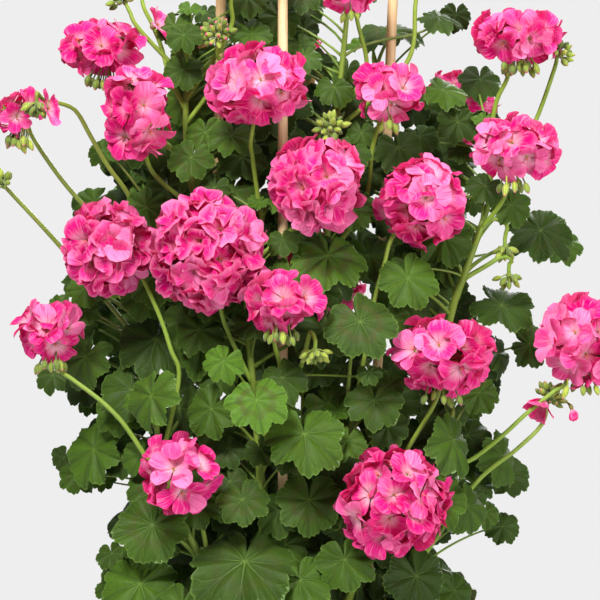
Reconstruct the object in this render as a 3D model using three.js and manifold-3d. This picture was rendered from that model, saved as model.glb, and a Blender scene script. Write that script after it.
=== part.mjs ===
// A potted climbing geranium on bamboo canes. Millimetres, +Z up, origin at the middle of the pot's
// underside. The front of the plant faces -Y.
import * as THREE from "three";
import { ConvexHull } from "three/addons/math/ConvexHull.js";
import { mergeVertices } from "three/addons/utils/BufferGeometryUtils.js";
import Module from "manifold-3d";

// Driving dimensions

const GAP = 0.35;

const POT_HEIGHT = 240;
const POT_RIM_RADIUS = 140;
const POT_RIM_HEIGHT = 38;
const POT_RIM_OVERHANG = 7;
const POT_FOOT_RADIUS = 98;
const POT_WALL = 8;
const POT_FLOOR = 10;
const POT_SIDES = 20;
const POT_CHAMFER = 3;
const DRAIN_RADIUS = 7;
const DRAIN_CIRCLE = 55;
const DRAIN_COUNT = 4;
const DRAIN_SIDES = 6;

const SOIL_LEVEL = 212;
const SOIL_CROWN = 5;
const SOIL_CROWN_RADIUS = 59;
const ROOT_DEPTH = 34;
const STEM_HOLE_ROOM = 1.6;
const ROOT_HOLE_SIDES = 5;
const ROOT_HOLE_RISE = 10;

const CANE_RADIUS = 5;
const CANE_KNOT_RADIUS = 6;
const CANE_KNOT_SPACING = 290;
const CANE_SIDES = 5;
const CANE_HOLE_SHARE = 1.32;
const CANE_KNOT_RISE = 4;
const CANE_KNOT_FALL = 3;
const CANE_PLAIN_TOP = 40;

const STEM_BASE_RADIUS = 5;
const STEM_TIP_RADIUS = 2.6;
const STEM_SIDES = 5;
const LONG_STEP = 90;
const FLOWER_STALK_RADIUS = 2;
const FLOWER_STALK_FLARE = 1.25;
const LEAF_STALK_RADIUS = 1.5;
const LEAF_STALK_FLARE = 1.25;
const LEAF_STALK_STEPS = 2;

const BLADE = 0.9;
const LEAF_HUB = 2.4;
const LOBE_COUNT = 7;
const LOBE_ANGLE = THREE.MathUtils.degToRad(48);
const LOBE_REACH = [1, 0.99, 0.95, 0.86];
const NOTCH_REACH = [0.87, 0.85, 0.8];
const SINUS_EDGE_ANGLE = THREE.MathUtils.degToRad(167);
const SINUS_EDGE_REACH = 0.6;
const SINUS_REACH = 0.14;
const LEAF_PLEAT = 0.045;
const HUB_SHIFT = 0.12;
const LARGE_LEAF_RADIUS = 46;
const SMALL_LEAF_RADIUS = 24;
const LEAF_CUP = [0.02, 0.16];
const LEAF_DROOP = [0.04, 0.2];

const HEAD_LIFT = 0.5;
const FLAT_HEAD_LIFT = 1.6;
const HEAD_STALK_DEPTH = 0.3;
const HEAD_STALK_LEAVE = 2;
const HEAD_STALK_APPROACH = 12;
const HEAD_HOLE_SIDES = 4;
const HEAD_HOLE_RADIUS = 3.3;
const HEAD_BASE_DEPTH = 0.5;
const HEAD_BASE_SHARE = 0.3;
const SIDE_TURN = 0.5;

const FLORET_SHARE = 0.84;
const THROAT_DEPTH = 0.24;
const NECK_SHARE = 0.56;
const NECK_RADIUS = 4;
const NECK_ANGLE = (2 * Math.PI) / 3;
const NECK_TURN = 0.3;
const FLORET_FIT = 0.96;
const FLORET_TURN = 1.3;
const BASE_WEIGHT = 1.7;
const SPREAD_ROUNDS = 120;
const SPREAD_STEP = 0.04;
const SPREAD_START = [0.01, 2.2];
const PETALS = 5;
const PETAL_SHOULDER = THREE.MathUtils.degToRad(21);
const PETAL_NOTCH_REACH = 0.66;
const PETAL_NOTCH_DROP = 0.14;
const PETAL_LIFTS = [-0.04, 0.05];
const PETAL_TILT = 0.06;

const BUD_LENGTH = 14;
const BUD_RADIUS = 3.4;
const BUD_BELLY = 0.62;
const BUD_KNOB = 3.2;
const BUD_NECK = 1.2;
const CLUSTER_LIFT = 1.2;
const CLUSTER_APPROACH = 10;
const CLUSTER_SPREAD = [0.1, 1.5];
const HANGING_BUD_SPREAD = [1.75, 2.6];

// The view that places are measured in: a point seen "across" mm right of the plant's axis and "up"
// mm over the ground, from this far away, at this rise, aimed at this height

const VIEW_DISTANCE = 5200;
const VIEW_RISE = THREE.MathUtils.degToRad(3);
const VIEW_AIM = 550;

// The bush: its half width falls from the foot to the crown, and it is a little less deep than wide

const BUSH_HALF_WIDTH = 200;
const BUSH_CROWN_HALF_WIDTH = 100;
const BUSH_SHOULDER = 450;
const BUSH_CROWN = 830;
const BUSH_DEPTH_SHARE = 0.75;
const BUSH_EDGE = 20;
const LAYER = 28;
const HEAD_PROUD = 30;

// Canes: the foot in the soil and the top

const CANES = [
  { name: "cane_left", foot: [-93, 4, 120], top: [-76, 2, 1004] },
  { name: "cane_front", foot: [-17, -86, 110], top: [-17, -58, 990] },
  { name: "cane_right", foot: [62, -6, 100], top: [99, -4, 1010] },
  { name: "cane_back", foot: [11, 88, 110], top: [10, 60, 998] },
];

// Main stems, from the root up, in the part's own frame

const STEMS = [
  {
    name: "stem_left_low",
    points: [[-62, -60, 218], [-95, -82, 290], [-128, -88, 370], [-146, -76, 450]],
  },
  {
    name: "stem_left_middle",
    points: [[-72, 34, 218], [-118, 20, 330], [-146, 10, 450], [-160, 12, 560], [-152, 10, 650]],
  },
  {
    name: "stem_left_high",
    points: [[-42, 20, 218], [-56, -10, 400], [-84, -32, 560], [-112, -42, 700], [-108, -36, 830]],
  },
  {
    name: "stem_front_middle",
    points: [[-14, -50, 218], [-34, -84, 330], [-44, -92, 450], [-52, -82, 560], [-36, -84, 640]],
  },
  {
    name: "stem_front_low",
    points: [[34, -74, 218], [56, -90, 290], [58, -84, 360], [44, -86, 440]],
  },
  {
    name: "stem_centre_high",
    points: [[14, -10, 218], [26, -20, 400], [24, -34, 560], [34, -42, 700], [48, -34, 850]],
  },
  {
    name: "stem_right_low",
    points: [[88, -34, 218], [120, -62, 300], [142, -74, 380], [152, -66, 450]],
  },
  {
    name: "stem_right_high",
    points: [[74, 34, 218], [118, 2, 380], [148, -36, 530], [162, -44, 575], [178, -36, 620], [189, -22, 660],
      [186, -12, 720]],
  },
  {
    name: "stem_back_left",
    points: [[-40, 66, 218], [-84, 96, 350], [-98, 106, 500], [-88, 96, 650], [-66, 76, 780]],
  },
  {
    name: "stem_back_right",
    points: [[52, 72, 218], [94, 98, 350], [106, 108, 500], [92, 98, 650], [74, 76, 800]],
  },
  {
    name: "stem_back_middle",
    points: [[-4, 52, 218], [2, 112, 330], [4, 124, 450], [0, 122, 560]],
  },
];

// Flower heads: middle and size as seen from the front, florets, the stem each grows from and the
// height of the joint, and points that the stalk passes on its way there, as seen

const HEADS = [
  { name: "head_upper_left", seen: [-197, 802], size: [86, 59], florets: 6, depth: -32,
    stem: "stem_left_high", joint: 690, buds: 4, via: [[-190, 760], [-184, 742]] },
  { name: "head_left_loose", seen: [-162, 737], size: [76, 97], florets: 6, depth: -92,
    stem: "stem_left_high", joint: 640, via: [[-150, 682]] },
  { name: "head_far_left_high", seen: [-281, 738], size: [58, 52], florets: 4,
    stem: "stem_left_middle", joint: 590, buds: 4, via: [[-264, 707], [-223, 652]] },
  { name: "head_upper_centre", seen: [-41, 764], size: [101, 82], florets: 8, depth: -122,
    stem: "stem_front_middle", joint: 632, via: [[-49, 712], [-47, 689]] },
  { name: "head_upper_right", seen: [88, 759], size: [71, 61], florets: 6,
    stem: "stem_centre_high", joint: 590, via: [[78, 722], [72, 700], [64, 646]] },
  { name: "head_centre", seen: [18, 665], size: [92, 94], florets: 8,
    stem: "stem_front_middle", joint: 590, via: [] },
  { name: "head_top_right", seen: [218, 815], size: [93, 56], florets: 6,
    stem: "stem_right_high", joint: 700, buds: 4, via: [[208, 774], [196, 747]] },
  { name: "head_right_high", seen: [213, 703], size: [89, 68], florets: 6, depth: -84,
    stem: "stem_right_high", joint: 620, buds: 3, via: [[205, 655]] },
  { name: "head_right_middle", seen: [122, 651], size: [92, 94], florets: 8,
    stem: "stem_front_low", joint: 420, via: [[92, 612], [84, 585], [75, 552], [66, 500]] },
  { name: "head_left_middle", seen: [-191, 603], size: [90, 94], florets: 8, depth: -84,
    stem: "stem_left_low", joint: 400,
    via: [[-160, 575], [-150, 556], [-138, 528], [-129, 500], [-121, 471]] },
  { name: "head_largest", seen: [-93, 598], size: [114, 113], florets: 9,
    stem: "stem_front_middle", joint: 470, via: [[-80, 545], [-72, 518]] },
  { name: "head_far_left_low", seen: [-249, 520], size: [75, 61], florets: 5,
    stem: "stem_left_low", joint: 350, buds: 4,
    via: [[-240, 482], [-228, 471], [-209, 457], [-190, 441], [-169, 416]] },
  { name: "head_middle", seen: [-18, 548], size: [79, 62], florets: 6,
    stem: "stem_front_middle", joint: 400, buds: 3, via: [[-25, 512], [-25, 503], [-20, 469]] },
  { name: "head_right_low", seen: [142, 495], size: [105, 77], florets: 7,
    stem: "stem_front_low", joint: 330, via: [[138, 455], [107, 400]] },
  { name: "head_far_right", seen: [281, 509], size: [90, 89], florets: 6,
    stem: "stem_right_low", joint: 320,
    via: [[266, 468], [253, 458], [226, 436], [202, 414], [171, 390], [147, 380]] },
  { name: "head_bottom_left", seen: [-121, 376], size: [86, 81], florets: 6,
    stem: "stem_left_low", joint: 268, via: [] },
  { name: "head_bottom_right", seen: [95, 349], size: [116, 109], florets: 8,
    stem: "stem_front_low", joint: 262, via: [] },
  { name: "head_crown_middle", seen: [50, 872], size: [72, 66], florets: 6,
    stem: "stem_centre_high", joint: 740, via: [[58, 826], [66, 778]] },
  { name: "head_crown_left", seen: [-68, 908], size: [84, 72], florets: 6,
    stem: "stem_left_high", joint: 750, via: [[-69, 850], [-71, 818]] },
  { name: "head_crown_right", seen: [134, 922], size: [88, 74], florets: 6, depth: -62,
    stem: "stem_centre_high", joint: 720, via: [[116, 850], [106, 786]] },
  { name: "head_back_left", seen: [-120, 655], size: [92, 84], florets: 5, depth: 140,
    stem: "stem_back_left", joint: 520, via: [] },
  { name: "head_back_middle", seen: [20, 575], size: [96, 90], florets: 5, depth: 182,
    stem: "stem_back_middle", joint: 440, via: [] },
  { name: "head_back_high", seen: [-20, 800], size: [88, 76], florets: 5, depth: 120,
    stem: "stem_back_left", joint: 700, via: [] },
  { name: "head_back_right", seen: [158, 740], size: [90, 80], florets: 5, depth: 112,
    stem: "stem_back_right", joint: 600, via: [] },
];

// Green bud clusters with no open floret, given the same way. A nodding one hangs from its stalk's arch

const BUD_CLUSTERS = [
  { seen: [-175, 848], buds: 4, stem: "stem_left_high", joint: 770, via: [[-170, 838], [-160, 820]] },
  { seen: [-82, 812], buds: 5, stem: "stem_left_high", joint: 726, via: [[-83, 796], [-79, 776]] },
  { seen: [-158, 895], buds: 4, stem: "stem_left_high", joint: 740,
    via: [[-158, 850], [-148, 826], [-139, 804], [-130, 773]] },
  { seen: [-263, 747], depth: -78, buds: 4, stem: "stem_left_middle", joint: 610, nods: true,
    via: [[-256, 750], [-245, 748], [-225, 740], [-210, 715], [-193, 685], [-170, 652]] },
  { seen: [-296, 664], buds: 4, stem: "stem_left_middle", joint: 500, via: [[-288, 656], [-234, 597]] },
  { seen: [30, 720], buds: 5, stem: "stem_centre_high", joint: 680, via: [[18, 714]] },
  { seen: [257, 794], buds: 4, stem: "stem_right_high", joint: 680,
    via: [[254, 780], [235, 728], [215, 700]] },
  { seen: [15, 500], buds: 4, stem: "stem_front_middle", joint: 380, nods: true,
    via: [[10, 517], [3, 490], [-9, 460]] },
  { seen: [205, 603], buds: 3, stem: "stem_right_high", joint: 600, nods: true,
    via: [[207, 625], [195, 631], [183, 624]] },
  { seen: [248, 450], buds: 4, stem: "stem_right_low", joint: 290,
    via: [[242, 426], [217, 401], [174, 365]] },
];

// Leaves of the front: middle, width and height as seen, layer behind the bush's face, and the
// direction of the tip, in degrees from straight down, positive to the right. A negative height is a
// leaf seen from below

const LEAVES = [
  [-43, 447, 67, 51, -1.2, 10],
  [-78, 486, 44, 38, -0.8, -30],
  [27, 590, 103, 69, 0, -5],
  [62, 527, 87, 73, 0.2, 25],
  [5, 412, 85, 65, -0.2, 5],
  [-70, 355, 80, 70, 0, -15],
  [-56, 283, 118, 82, 0, -5],
  [46, 286, 92, 80, 0, 10],
  [-150, 325, 79, 80, 0, -30],
  [-208, 396, 67, 79, 0, -35],
  [155, 406, 60, 87, 0, 30],
  [-91, 437, 57, 60, 0, -40],
  [-24, 501, 108, 77, 0.9, 0],
  [-70, 655, 76, 64, 0.2, -20],
  [245, 616, 77, 57, 0, 40],
  [205, 390, 50, 68, 0, 40],
  [-146, 505, 85, 65, 0.8, -10],
  [-155, 554, 60, 51, 0.5, -20],
  [85, 447, 90, 67, 0.9, 20],
  [9, 345, 71, 65, 0.6, 0],
  [169, 341, 52, 58, 0.2, 25],
  [118, 270, 70, 75, 0.4, 20],
  [-123, 435, 46, 70, 0.8, -20],
  [-217, 490, 64, 69, 0.4, -45],
  [144, 591, 64, 62, 0.8, 15],
  [205, 543, 73, 47, 0, 60],
  [235, 501, 50, 48, 0.2, 75],
  [199, 494, 34, 52, 1, 10],
  [-211, 645, 53, 41, 0, -50],
  [-14, 710, 47, 38, 0.8, 10],
  [-114, 745, 52, 50, 0, -20],
  [-112, 810, 40, 44, 0, -15],
  [95, 818, 70, 24, 1.2, 30],
  [145, 759, 54, 29, 0, 50],
  [181, 733, 58, -29, 0.4, 60],
  [-222, 566, 44, 32, 0.2, -55],
  [156, 255, 44, 52, 0, 25],
  [-179, 262, 62, 56, 0.2, -30],
  [-120, 240, 66, 58, -0.8, -15],
  [5, 228, 74, 60, -0.9, 0],
  [95, 222, 66, 56, -0.9, 15],
  [-60, 218, 62, 54, -0.8, -5],
];

// Leaves of the sides and back are drawn by rule, in rows round the bush

const BACK_ROWS = [
  { up: 250, count: 4, radius: 40 },
  { up: 350, count: 4, radius: 42 },
  { up: 460, count: 4, radius: 42 },
  { up: 570, count: 3, radius: 40 },
  { up: 680, count: 3, radius: 34 },
  { up: 790, count: 2, radius: 28 },
];
const BACK_SEED = 20261;
const LEAF_SEED = 711;

// How a leaf faces, and how far those of the back stray from their places

const LEAN_SHARE = [0.25, 0.95];
const TALL_LEAF_PITCH = 0.35;
const TURN_PER_MM = 0.0012;
const TIP_BACK = 0.15;
const BACK_START = 0.04;
const BACK_SWEEP = 0.92;
const BACK_INSET = [0.85, 1];
const BACK_RISE = 44;
const BACK_FACE_UP = [0.4, 1];
const BACK_SCALE = [0.85, 1.1];

// Room between neighbours, and what is tried in turn for a leaf whose place is taken

const CLEAR = 2.2;
const LEAF_SAG_ROOM = 12;
const BAND_BASE = 1.5;
const BAND_SHARE = 0.06;
const CENTRE_SHIFT = 0.06;
const DOT_RINGS = [[0, 1], [0.4, 6], [0.72, 10], [1, 18]];
const BALL_STEP = 7;
const CANE_BALL_STEP = 10;
const STEM_BALL_STEP = 8;
const STEM_BALL_RADIUS = 4;
const HEAD_BALL_INSET = 3;
const SHIFTS = [0, 9, -9, 18, -18, 27, -27, 38, -38, 50, -50, 64, 78];
const SCALES = [1, 0.9, 0.8, 0.7];
const DROPS = [40, 16, 70, 100];
const NEAREST_STEMS = 3;
const LOWEST_JOINT = 12;
const TOP_JOINT = 4;
const STEM_RISE = 30;
const LOW_HUB = 260;

const HALVINGS = 24;
const TUBE_START = [0.31, 0.87, 0.38];

// Colours

const TERRACOTTA = { color: 0xb5673f, roughness: 0.85, metalness: 0 };
const SOIL = { color: 0x3a2a20, roughness: 1, metalness: 0 };
const BAMBOO = { color: 0xe6c795, roughness: 0.55, metalness: 0 };
const LEAF_GREEN = { color: 0x47702f, roughness: 0.6, metalness: 0 };
const PETAL_PINK = { color: 0xed2e8a, roughness: 0.5, metalness: 0 };

const wasm = await Module();
wasm.setup();

// Draws between 0 and 1 that are the same on each run

function makeDraw(seed) {
  let state = seed;
  return () => {
    state = (state * 1664525 + 1013904223) % 4294967296;
    return state / 4294967296;
  };
}

const vector = (point) => new THREE.Vector3(...point);
const lerp = THREE.MathUtils.lerp;

// The point at depth y that is seen "across" and "up" from the front

function fromView(across, up, y) {
  const cos = Math.cos(VIEW_RISE);
  const sin = Math.sin(VIEW_RISE);
  const rise = (up - VIEW_AIM) / VIEW_DISTANCE;
  const reach = (y + VIEW_DISTANCE * cos) / (cos + rise * sin);
  const x = (reach * across) / VIEW_DISTANCE;
  const z = VIEW_AIM + VIEW_DISTANCE * sin + reach * (rise * cos - sin);
  return new THREE.Vector3(x, y, z);
}

function bushHalfWidth(up) {
  const share = THREE.MathUtils.clamp((up - BUSH_SHOULDER) / (BUSH_CROWN - BUSH_SHOULDER), 0, 1);
  return lerp(BUSH_HALF_WIDTH, BUSH_CROWN_HALF_WIDTH, share);
}

function bushFace(across, up) {
  const half = bushHalfWidth(up);
  return -BUSH_DEPTH_SHARE * Math.sqrt(Math.max(BUSH_EDGE * BUSH_EDGE, half * half - across * across));
}

// Paths

function smoothPath(points) {
  return new THREE.CatmullRomCurve3(points, false, "catmullrom", 0.5);
}

function stemPath(stem) {
  return smoothPath(stem.points.map(vector));
}

// Where a rising path passes a height

function pathAtHeight(path, height) {
  let low = 0;
  let high = 1;
  for (let i = 0; i < HALVINGS; i++) {
    const middle = (low + high) / 2;
    if (path.getPoint(middle).z < height) low = middle;
    else high = middle;
  }
  return path.getPoint((low + high) / 2);
}

function stalkPath(lead, via, end) {
  const steps = via.length + 1;
  const { y } = lead[lead.length - 1];
  const between = via.map(([across, up], i) => fromView(across, up, lerp(y, end.y, (i + 1) / steps)));
  return smoothPath([...lead, ...between, end]);
}

// Flower heads and bud clusters in place

function outwardAxis(middle, lift) {
  return new THREE.Vector3(middle.x * SIDE_TURN, middle.y, 0).normalize().setZ(lift).normalize();
}

function layHead(head, stems) {
  const [across, up] = head.seen;
  const depth = head.depth ?? bushFace(across, up) - HEAD_PROUD;
  const middle = fromView(across, up, depth);
  const wide = head.size[0] / 2;
  const tall = head.size[1] / 2;
  const flatness = 1 - tall / Math.max(wide, tall);
  const axis = outwardAxis(middle, HEAD_LIFT + FLAT_HEAD_LIFT * flatness);
  const start = middle.clone().addScaledVector(axis, -HEAD_STALK_DEPTH * tall);
  const leave = middle.clone().addScaledVector(axis, -tall - HEAD_STALK_LEAVE);
  const approach = middle.clone().addScaledVector(axis, -tall - HEAD_STALK_APPROACH);
  const end = pathAtHeight(stems.get(head.stem).path, head.joint);
  const path = stalkPath([start, leave, approach], head.via, end);
  return { ...head, middle, wide, tall, axis, start, leave, approach, path };
}

function layCluster(cluster, stems) {
  const [across, up] = cluster.seen;
  const middle = fromView(across, up, cluster.depth ?? bushFace(across, up) - HEAD_PROUD / 2);
  const axis = cluster.nods ? new THREE.Vector3(0, 0, -1) : outwardAxis(middle, CLUSTER_LIFT);
  const approach = middle.clone().addScaledVector(axis, -CLUSTER_APPROACH);
  const end = pathAtHeight(stems.get(cluster.stem).path, cluster.joint);
  return { ...cluster, middle, axis, path: stalkPath([middle, approach], cluster.via, end) };
}

// Leaves in place. A leaf has a hub, a normal, a tip direction and a radius

function leafFrame(leaf) {
  leaf.tip.addScaledVector(leaf.normal, -leaf.tip.dot(leaf.normal)).normalize();
  leaf.side = new THREE.Vector3().crossVectors(leaf.normal, leaf.tip);
  leaf.hub = leaf.middle.clone().addScaledVector(leaf.tip, -HUB_SHIFT * leaf.radius);
  return leaf;
}

function frontLeaf([across, up, width, height, layer, tipDegrees], draw) {
  const depth = bushFace(across, up) + layer * LAYER;
  const middle = fromView(across, up, depth);
  const tall = Math.abs(height);
  const share = Math.min(width, tall) / Math.max(width, tall);
  const lean = Math.acos(THREE.MathUtils.clamp(share, ...LEAN_SHARE));
  const pitch = tall <= width ? lean : TALL_LEAF_PITCH;
  const yaw = across * TURN_PER_MM + (tall > width ? Math.sign(across) * lean : 0);
  const front = height < 0 ? -1 : 1;
  const normal = new THREE.Vector3(
    Math.sin(yaw) * Math.cos(pitch),
    -front * Math.cos(yaw) * Math.cos(pitch),
    Math.sin(pitch),
  );
  const turn = THREE.MathUtils.degToRad(tipDegrees);
  const tip = new THREE.Vector3(Math.sin(turn), -TIP_BACK * front, -front * Math.cos(turn));
  const radius = Math.max(width, tall) / 2;
  const cup = lerp(...LEAF_CUP, draw());
  const droop = lerp(...LEAF_DROOP, draw());
  return leafFrame({ middle, normal, tip, radius, cup, droop });
}

function backLeaf(row, place, draw) {
  const stray = lerp(0.25, 0.75, draw());
  const angle = Math.PI * (BACK_START + (BACK_SWEEP * (place + stray)) / row.count);
  const half = bushHalfWidth(row.up) * lerp(...BACK_INSET, draw());
  const up = row.up + BACK_RISE * (draw() - 0.5);
  const middle = new THREE.Vector3(half * Math.cos(angle), BUSH_DEPTH_SHARE * half * Math.sin(angle), up);
  const outward = new THREE.Vector3(Math.cos(angle), Math.sin(angle), 0);
  const normal = outward.clone().setZ(lerp(...BACK_FACE_UP, draw())).normalize();
  const tip = outward.clone().setZ(-1);
  const radius = row.radius * lerp(...BACK_SCALE, draw());
  const cup = lerp(...LEAF_CUP, draw());
  const droop = lerp(...LEAF_DROOP, draw());
  return leafFrame({ middle, normal, tip, radius, cup, droop });
}

// Clearance. Stalks, canes and heads are balls along their length, and a leaf is a disc in a thin band

function leafBand(leaf) {
  const lift = (leaf.cup - 0.3 * leaf.droop) * leaf.radius * 0.5;
  const forward = CENTRE_SHIFT * leaf.radius;
  leaf.centre = leaf.hub.clone().addScaledVector(leaf.tip, forward).addScaledVector(leaf.normal, lift);
  leaf.band = BAND_BASE + BAND_SHARE * leaf.radius;
  leaf.dots = [];
  for (const [share, count] of DOT_RINGS)
    for (let i = 0; i < count; i++) {
      const angle = (2 * Math.PI * i) / count;
      const along = share * leaf.radius * Math.cos(angle);
      const aside = share * leaf.radius * Math.sin(angle);
      const dot = leaf.centre.clone().addScaledVector(leaf.tip, along);
      leaf.dots.push(dot.addScaledVector(leaf.side, aside));
    }
  return leaf;
}

function distanceToDisc(point, leaf) {
  const dx = point.x - leaf.centre.x;
  const dy = point.y - leaf.centre.y;
  const dz = point.z - leaf.centre.z;
  const along = dx * leaf.normal.x + dy * leaf.normal.y + dz * leaf.normal.z;
  const flat = Math.sqrt(Math.max(0, dx * dx + dy * dy + dz * dz - along * along));
  const outside = Math.max(0, flat - leaf.radius);
  const over = Math.max(0, Math.abs(along) - leaf.band);
  return Math.sqrt(outside * outside + over * over);
}

function ballsOf(path, radius, step, owner) {
  const length = path.getLength();
  const count = Math.ceil(length / step);
  const balls = [];
  for (let i = 0; i <= count; i++) balls.push({ point: path.getPoint(i / count), radius, owner });
  return balls;
}

function leavesMeet(one, two) {
  const reach = one.radius + two.radius + one.band + two.band + CLEAR;
  if (one.centre.distanceTo(two.centre) > reach) return false;
  const room = one.band + CLEAR;
  return (
    one.dots.some((dot) => distanceToDisc(dot, two) < room) ||
    two.dots.some((dot) => distanceToDisc(dot, one) < two.band + CLEAR)
  );
}

function ballMeetsLeaf(ball, leaf) {
  const reach = ball.radius + leaf.radius + leaf.band + CLEAR;
  if (ball.point.distanceTo(leaf.centre) > reach) return false;
  return distanceToDisc(ball.point, leaf) < ball.radius + CLEAR;
}

// Whether a point is above the pot, inside its rim or out beside it

function isClearOfPot(point, room) {
  const radius = Math.hypot(point.x, point.y);
  if (point.z > POT_HEIGHT + room || radius > POT_RIM_RADIUS + room) return true;
  return radius < POT_RIM_RADIUS - POT_WALL - room && point.z > SOIL_LEVEL + room;
}

// The leaf's stalk, from a stem to the underside of the blade's hub

function jointHeight(leaf, stem, drop) {
  const lowest = stem.points[0][2] + LOWEST_JOINT;
  return THREE.MathUtils.clamp(leaf.hub.z - drop, lowest, stem.top - TOP_JOINT);
}

function leafStalk(leaf, stem, drop) {
  const joint = pathAtHeight(stem.path, jointHeight(leaf, stem, drop));
  const end = leaf.hub.clone().addScaledVector(leaf.normal, -LEAF_HUB);
  const length = end.distanceTo(joint);
  const low = leaf.hub.z < POT_HEIGHT + 2 * LEAF_SAG_ROOM;
  const leave = joint.clone().lerp(end, 0.35).add(new THREE.Vector3(0, 0, (low ? 0.5 : 0.12) * length));
  const arrive = end.clone().addScaledVector(leaf.normal, (low ? -0.2 : -0.28) * length);
  if (low) arrive.z += 0.12 * length;
  else arrive.addScaledVector(leaf.tip, -0.12 * length);
  return new THREE.CubicBezierCurve3(joint, leave, arrive, end);
}

function stalkIsClear(path, stem, leaf, leaves, balls) {
  const own = ballsOf(path, LEAF_STALK_RADIUS, BALL_STEP, stem.name);
  return own.every(
    (ball) =>
      isClearOfPot(ball.point, ball.radius + CLEAR) &&
      leaves.every((other) => other === leaf || !ballMeetsLeaf(ball, other)) &&
      balls.every(
        (other) =>
          other.owner === stem.name ||
          ball.point.distanceTo(other.point) > ball.radius + other.radius + CLEAR,
      ),
  );
}

function settleLeaf(leaf, stems, leaves, balls) {
  const first = leaf.middle.clone();
  const away = leaf.away;
  const radius = leaf.radius;
  for (const scale of SCALES)
    for (const shift of SHIFTS) {
      leaf.middle = first.clone().addScaledVector(away, shift);
      leaf.radius = radius * scale;
      leafBand(leafFrame(leaf));
      if (!leaf.dots.every((dot) => isClearOfPot(dot, leaf.band + CLEAR))) continue;
      if (leaves.some((other) => leavesMeet(leaf, other))) continue;
      if (balls.some((ball) => ballMeetsLeaf(ball, leaf))) continue;
      const near = [...stems.values()].filter((stem) => servesLeaf(stem, leaf));
      near.sort((a, b) => stemDistance(a, leaf) - stemDistance(b, leaf));
      for (const stem of near.slice(0, NEAREST_STEMS))
        for (const drop of DROPS) {
          const path = leafStalk(leaf, stem, drop);
          if (!stalkIsClear(path, stem, leaf, leaves, balls)) continue;
          leaf.stem = stem.name;
          leaf.path = path;
          return true;
        }
    }
  return false;
}

function servesLeaf(stem, leaf) {
  return stem.points[0][2] + STEM_RISE < leaf.hub.z || leaf.hub.z < LOW_HUB;
}

function stemDistance(stem, leaf) {
  return pathAtHeight(stem.path, jointHeight(leaf, stem, DROPS[0])).distanceTo(leaf.hub);
}

// Everything in place

function layStems() {
  const stems = new Map();
  for (const stem of STEMS) {
    const path = stemPath(stem);
    stems.set(stem.name, { ...stem, path, top: stem.points[stem.points.length - 1][2] });
  }
  return stems;
}

function takenBalls(stems, heads, clusters) {
  const balls = [];
  for (const cane of CANES) {
    const line = new THREE.LineCurve3(vector(cane.foot), vector(cane.top));
    balls.push(...ballsOf(line, CANE_KNOT_RADIUS, CANE_BALL_STEP, cane.name));
  }
  for (const stem of stems.values())
    balls.push(...ballsOf(stem.path, STEM_BALL_RADIUS, STEM_BALL_STEP, stem.name));
  for (const head of heads) {
    const radius = Math.max(head.wide, head.tall) - HEAD_BALL_INSET;
    balls.push({ point: head.middle, radius, owner: head.name });
    balls.push(...ballsOf(head.path, FLOWER_STALK_RADIUS, BALL_STEP, head.stem));
    if (head.buds) balls.push({ point: head.approach, radius: BUD_LENGTH, owner: head.stem });
  }
  for (const cluster of clusters) {
    balls.push({ point: cluster.middle, radius: BUD_LENGTH, owner: cluster.stem });
    balls.push(...ballsOf(cluster.path, FLOWER_STALK_RADIUS, BALL_STEP, cluster.stem));
  }
  return balls;
}

// Leaves of the front, the largest first, then those of the back, each with the way it may shift

function wantedLeaves() {
  const leafDraw = makeDraw(LEAF_SEED);
  const leaves = LEAVES.map((row) => frontLeaf(row, leafDraw));
  leaves.sort((one, two) => two.radius - one.radius);
  for (const leaf of leaves) leaf.away = new THREE.Vector3(0, 1, 0);
  const backDraw = makeDraw(BACK_SEED);
  for (const row of BACK_ROWS)
    for (let place = 0; place < row.count; place++) {
      const leaf = backLeaf(row, place, backDraw);
      leaf.away = new THREE.Vector3(-leaf.middle.x, -leaf.middle.y, 0).normalize();
      leaves.push(leaf);
    }
  return leaves;
}

function layPlant() {
  const stems = layStems();
  const heads = HEADS.map((head) => layHead(head, stems));
  const clusters = BUD_CLUSTERS.map((cluster) => layCluster(cluster, stems));
  const balls = takenBalls(stems, heads, clusters);
  const leaves = [];
  for (const leaf of wantedLeaves())
    if (settleLeaf(leaf, stems, leaves, balls)) {
      leaves.push(leaf);
      balls.push(...ballsOf(leaf.path, LEAF_STALK_RADIUS, BALL_STEP, leaf.stem));
    }
  return { stems, heads, clusters, leaves };
}

// Solids

function closedGeometry(points, triangles) {
  const geometry = new THREE.BufferGeometry().setFromPoints(points);
  geometry.setIndex(triangles);
  return geometry;
}

function solid(geometry) {
  const bare = geometry.clone();
  for (const name of Object.keys(bare.attributes)) if (name !== "position") bare.deleteAttribute(name);
  const merged = mergeVertices(bare, 1e-4);
  const mesh = new wasm.Mesh({
    numProp: 3,
    vertProperties: new Float32Array(merged.attributes.position.array),
    triVerts: new Uint32Array(merged.index.array),
  });
  return new wasm.Manifold(mesh);
}

function join(solids) {
  return solids.reduce((whole, piece) => whole.add(piece));
}

function largestBody(made) {
  return made.decompose().reduce((best, body) => (body.volume() > best.volume() ? body : best));
}

function meshOf(name, made, finish) {
  const { numProp, vertProperties, triVerts } = made.getMesh();
  const positions = new Float32Array((vertProperties.length / numProp) * 3);
  for (let i = 0; i < positions.length / 3; i++)
    for (let axis = 0; axis < 3; axis++) positions[3 * i + axis] = vertProperties[numProp * i + axis];
  const geometry = new THREE.BufferGeometry();
  geometry.setAttribute("position", new THREE.BufferAttribute(positions, 3));
  geometry.setIndex(new THREE.BufferAttribute(new Uint32Array(triVerts), 1));
  const mesh = new THREE.Mesh(geometry, new THREE.MeshStandardMaterial(finish));
  mesh.name = name;
  return mesh;
}

// Where a smooth path's rings go: at its own points but the straight one, and half way along a long step

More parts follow.
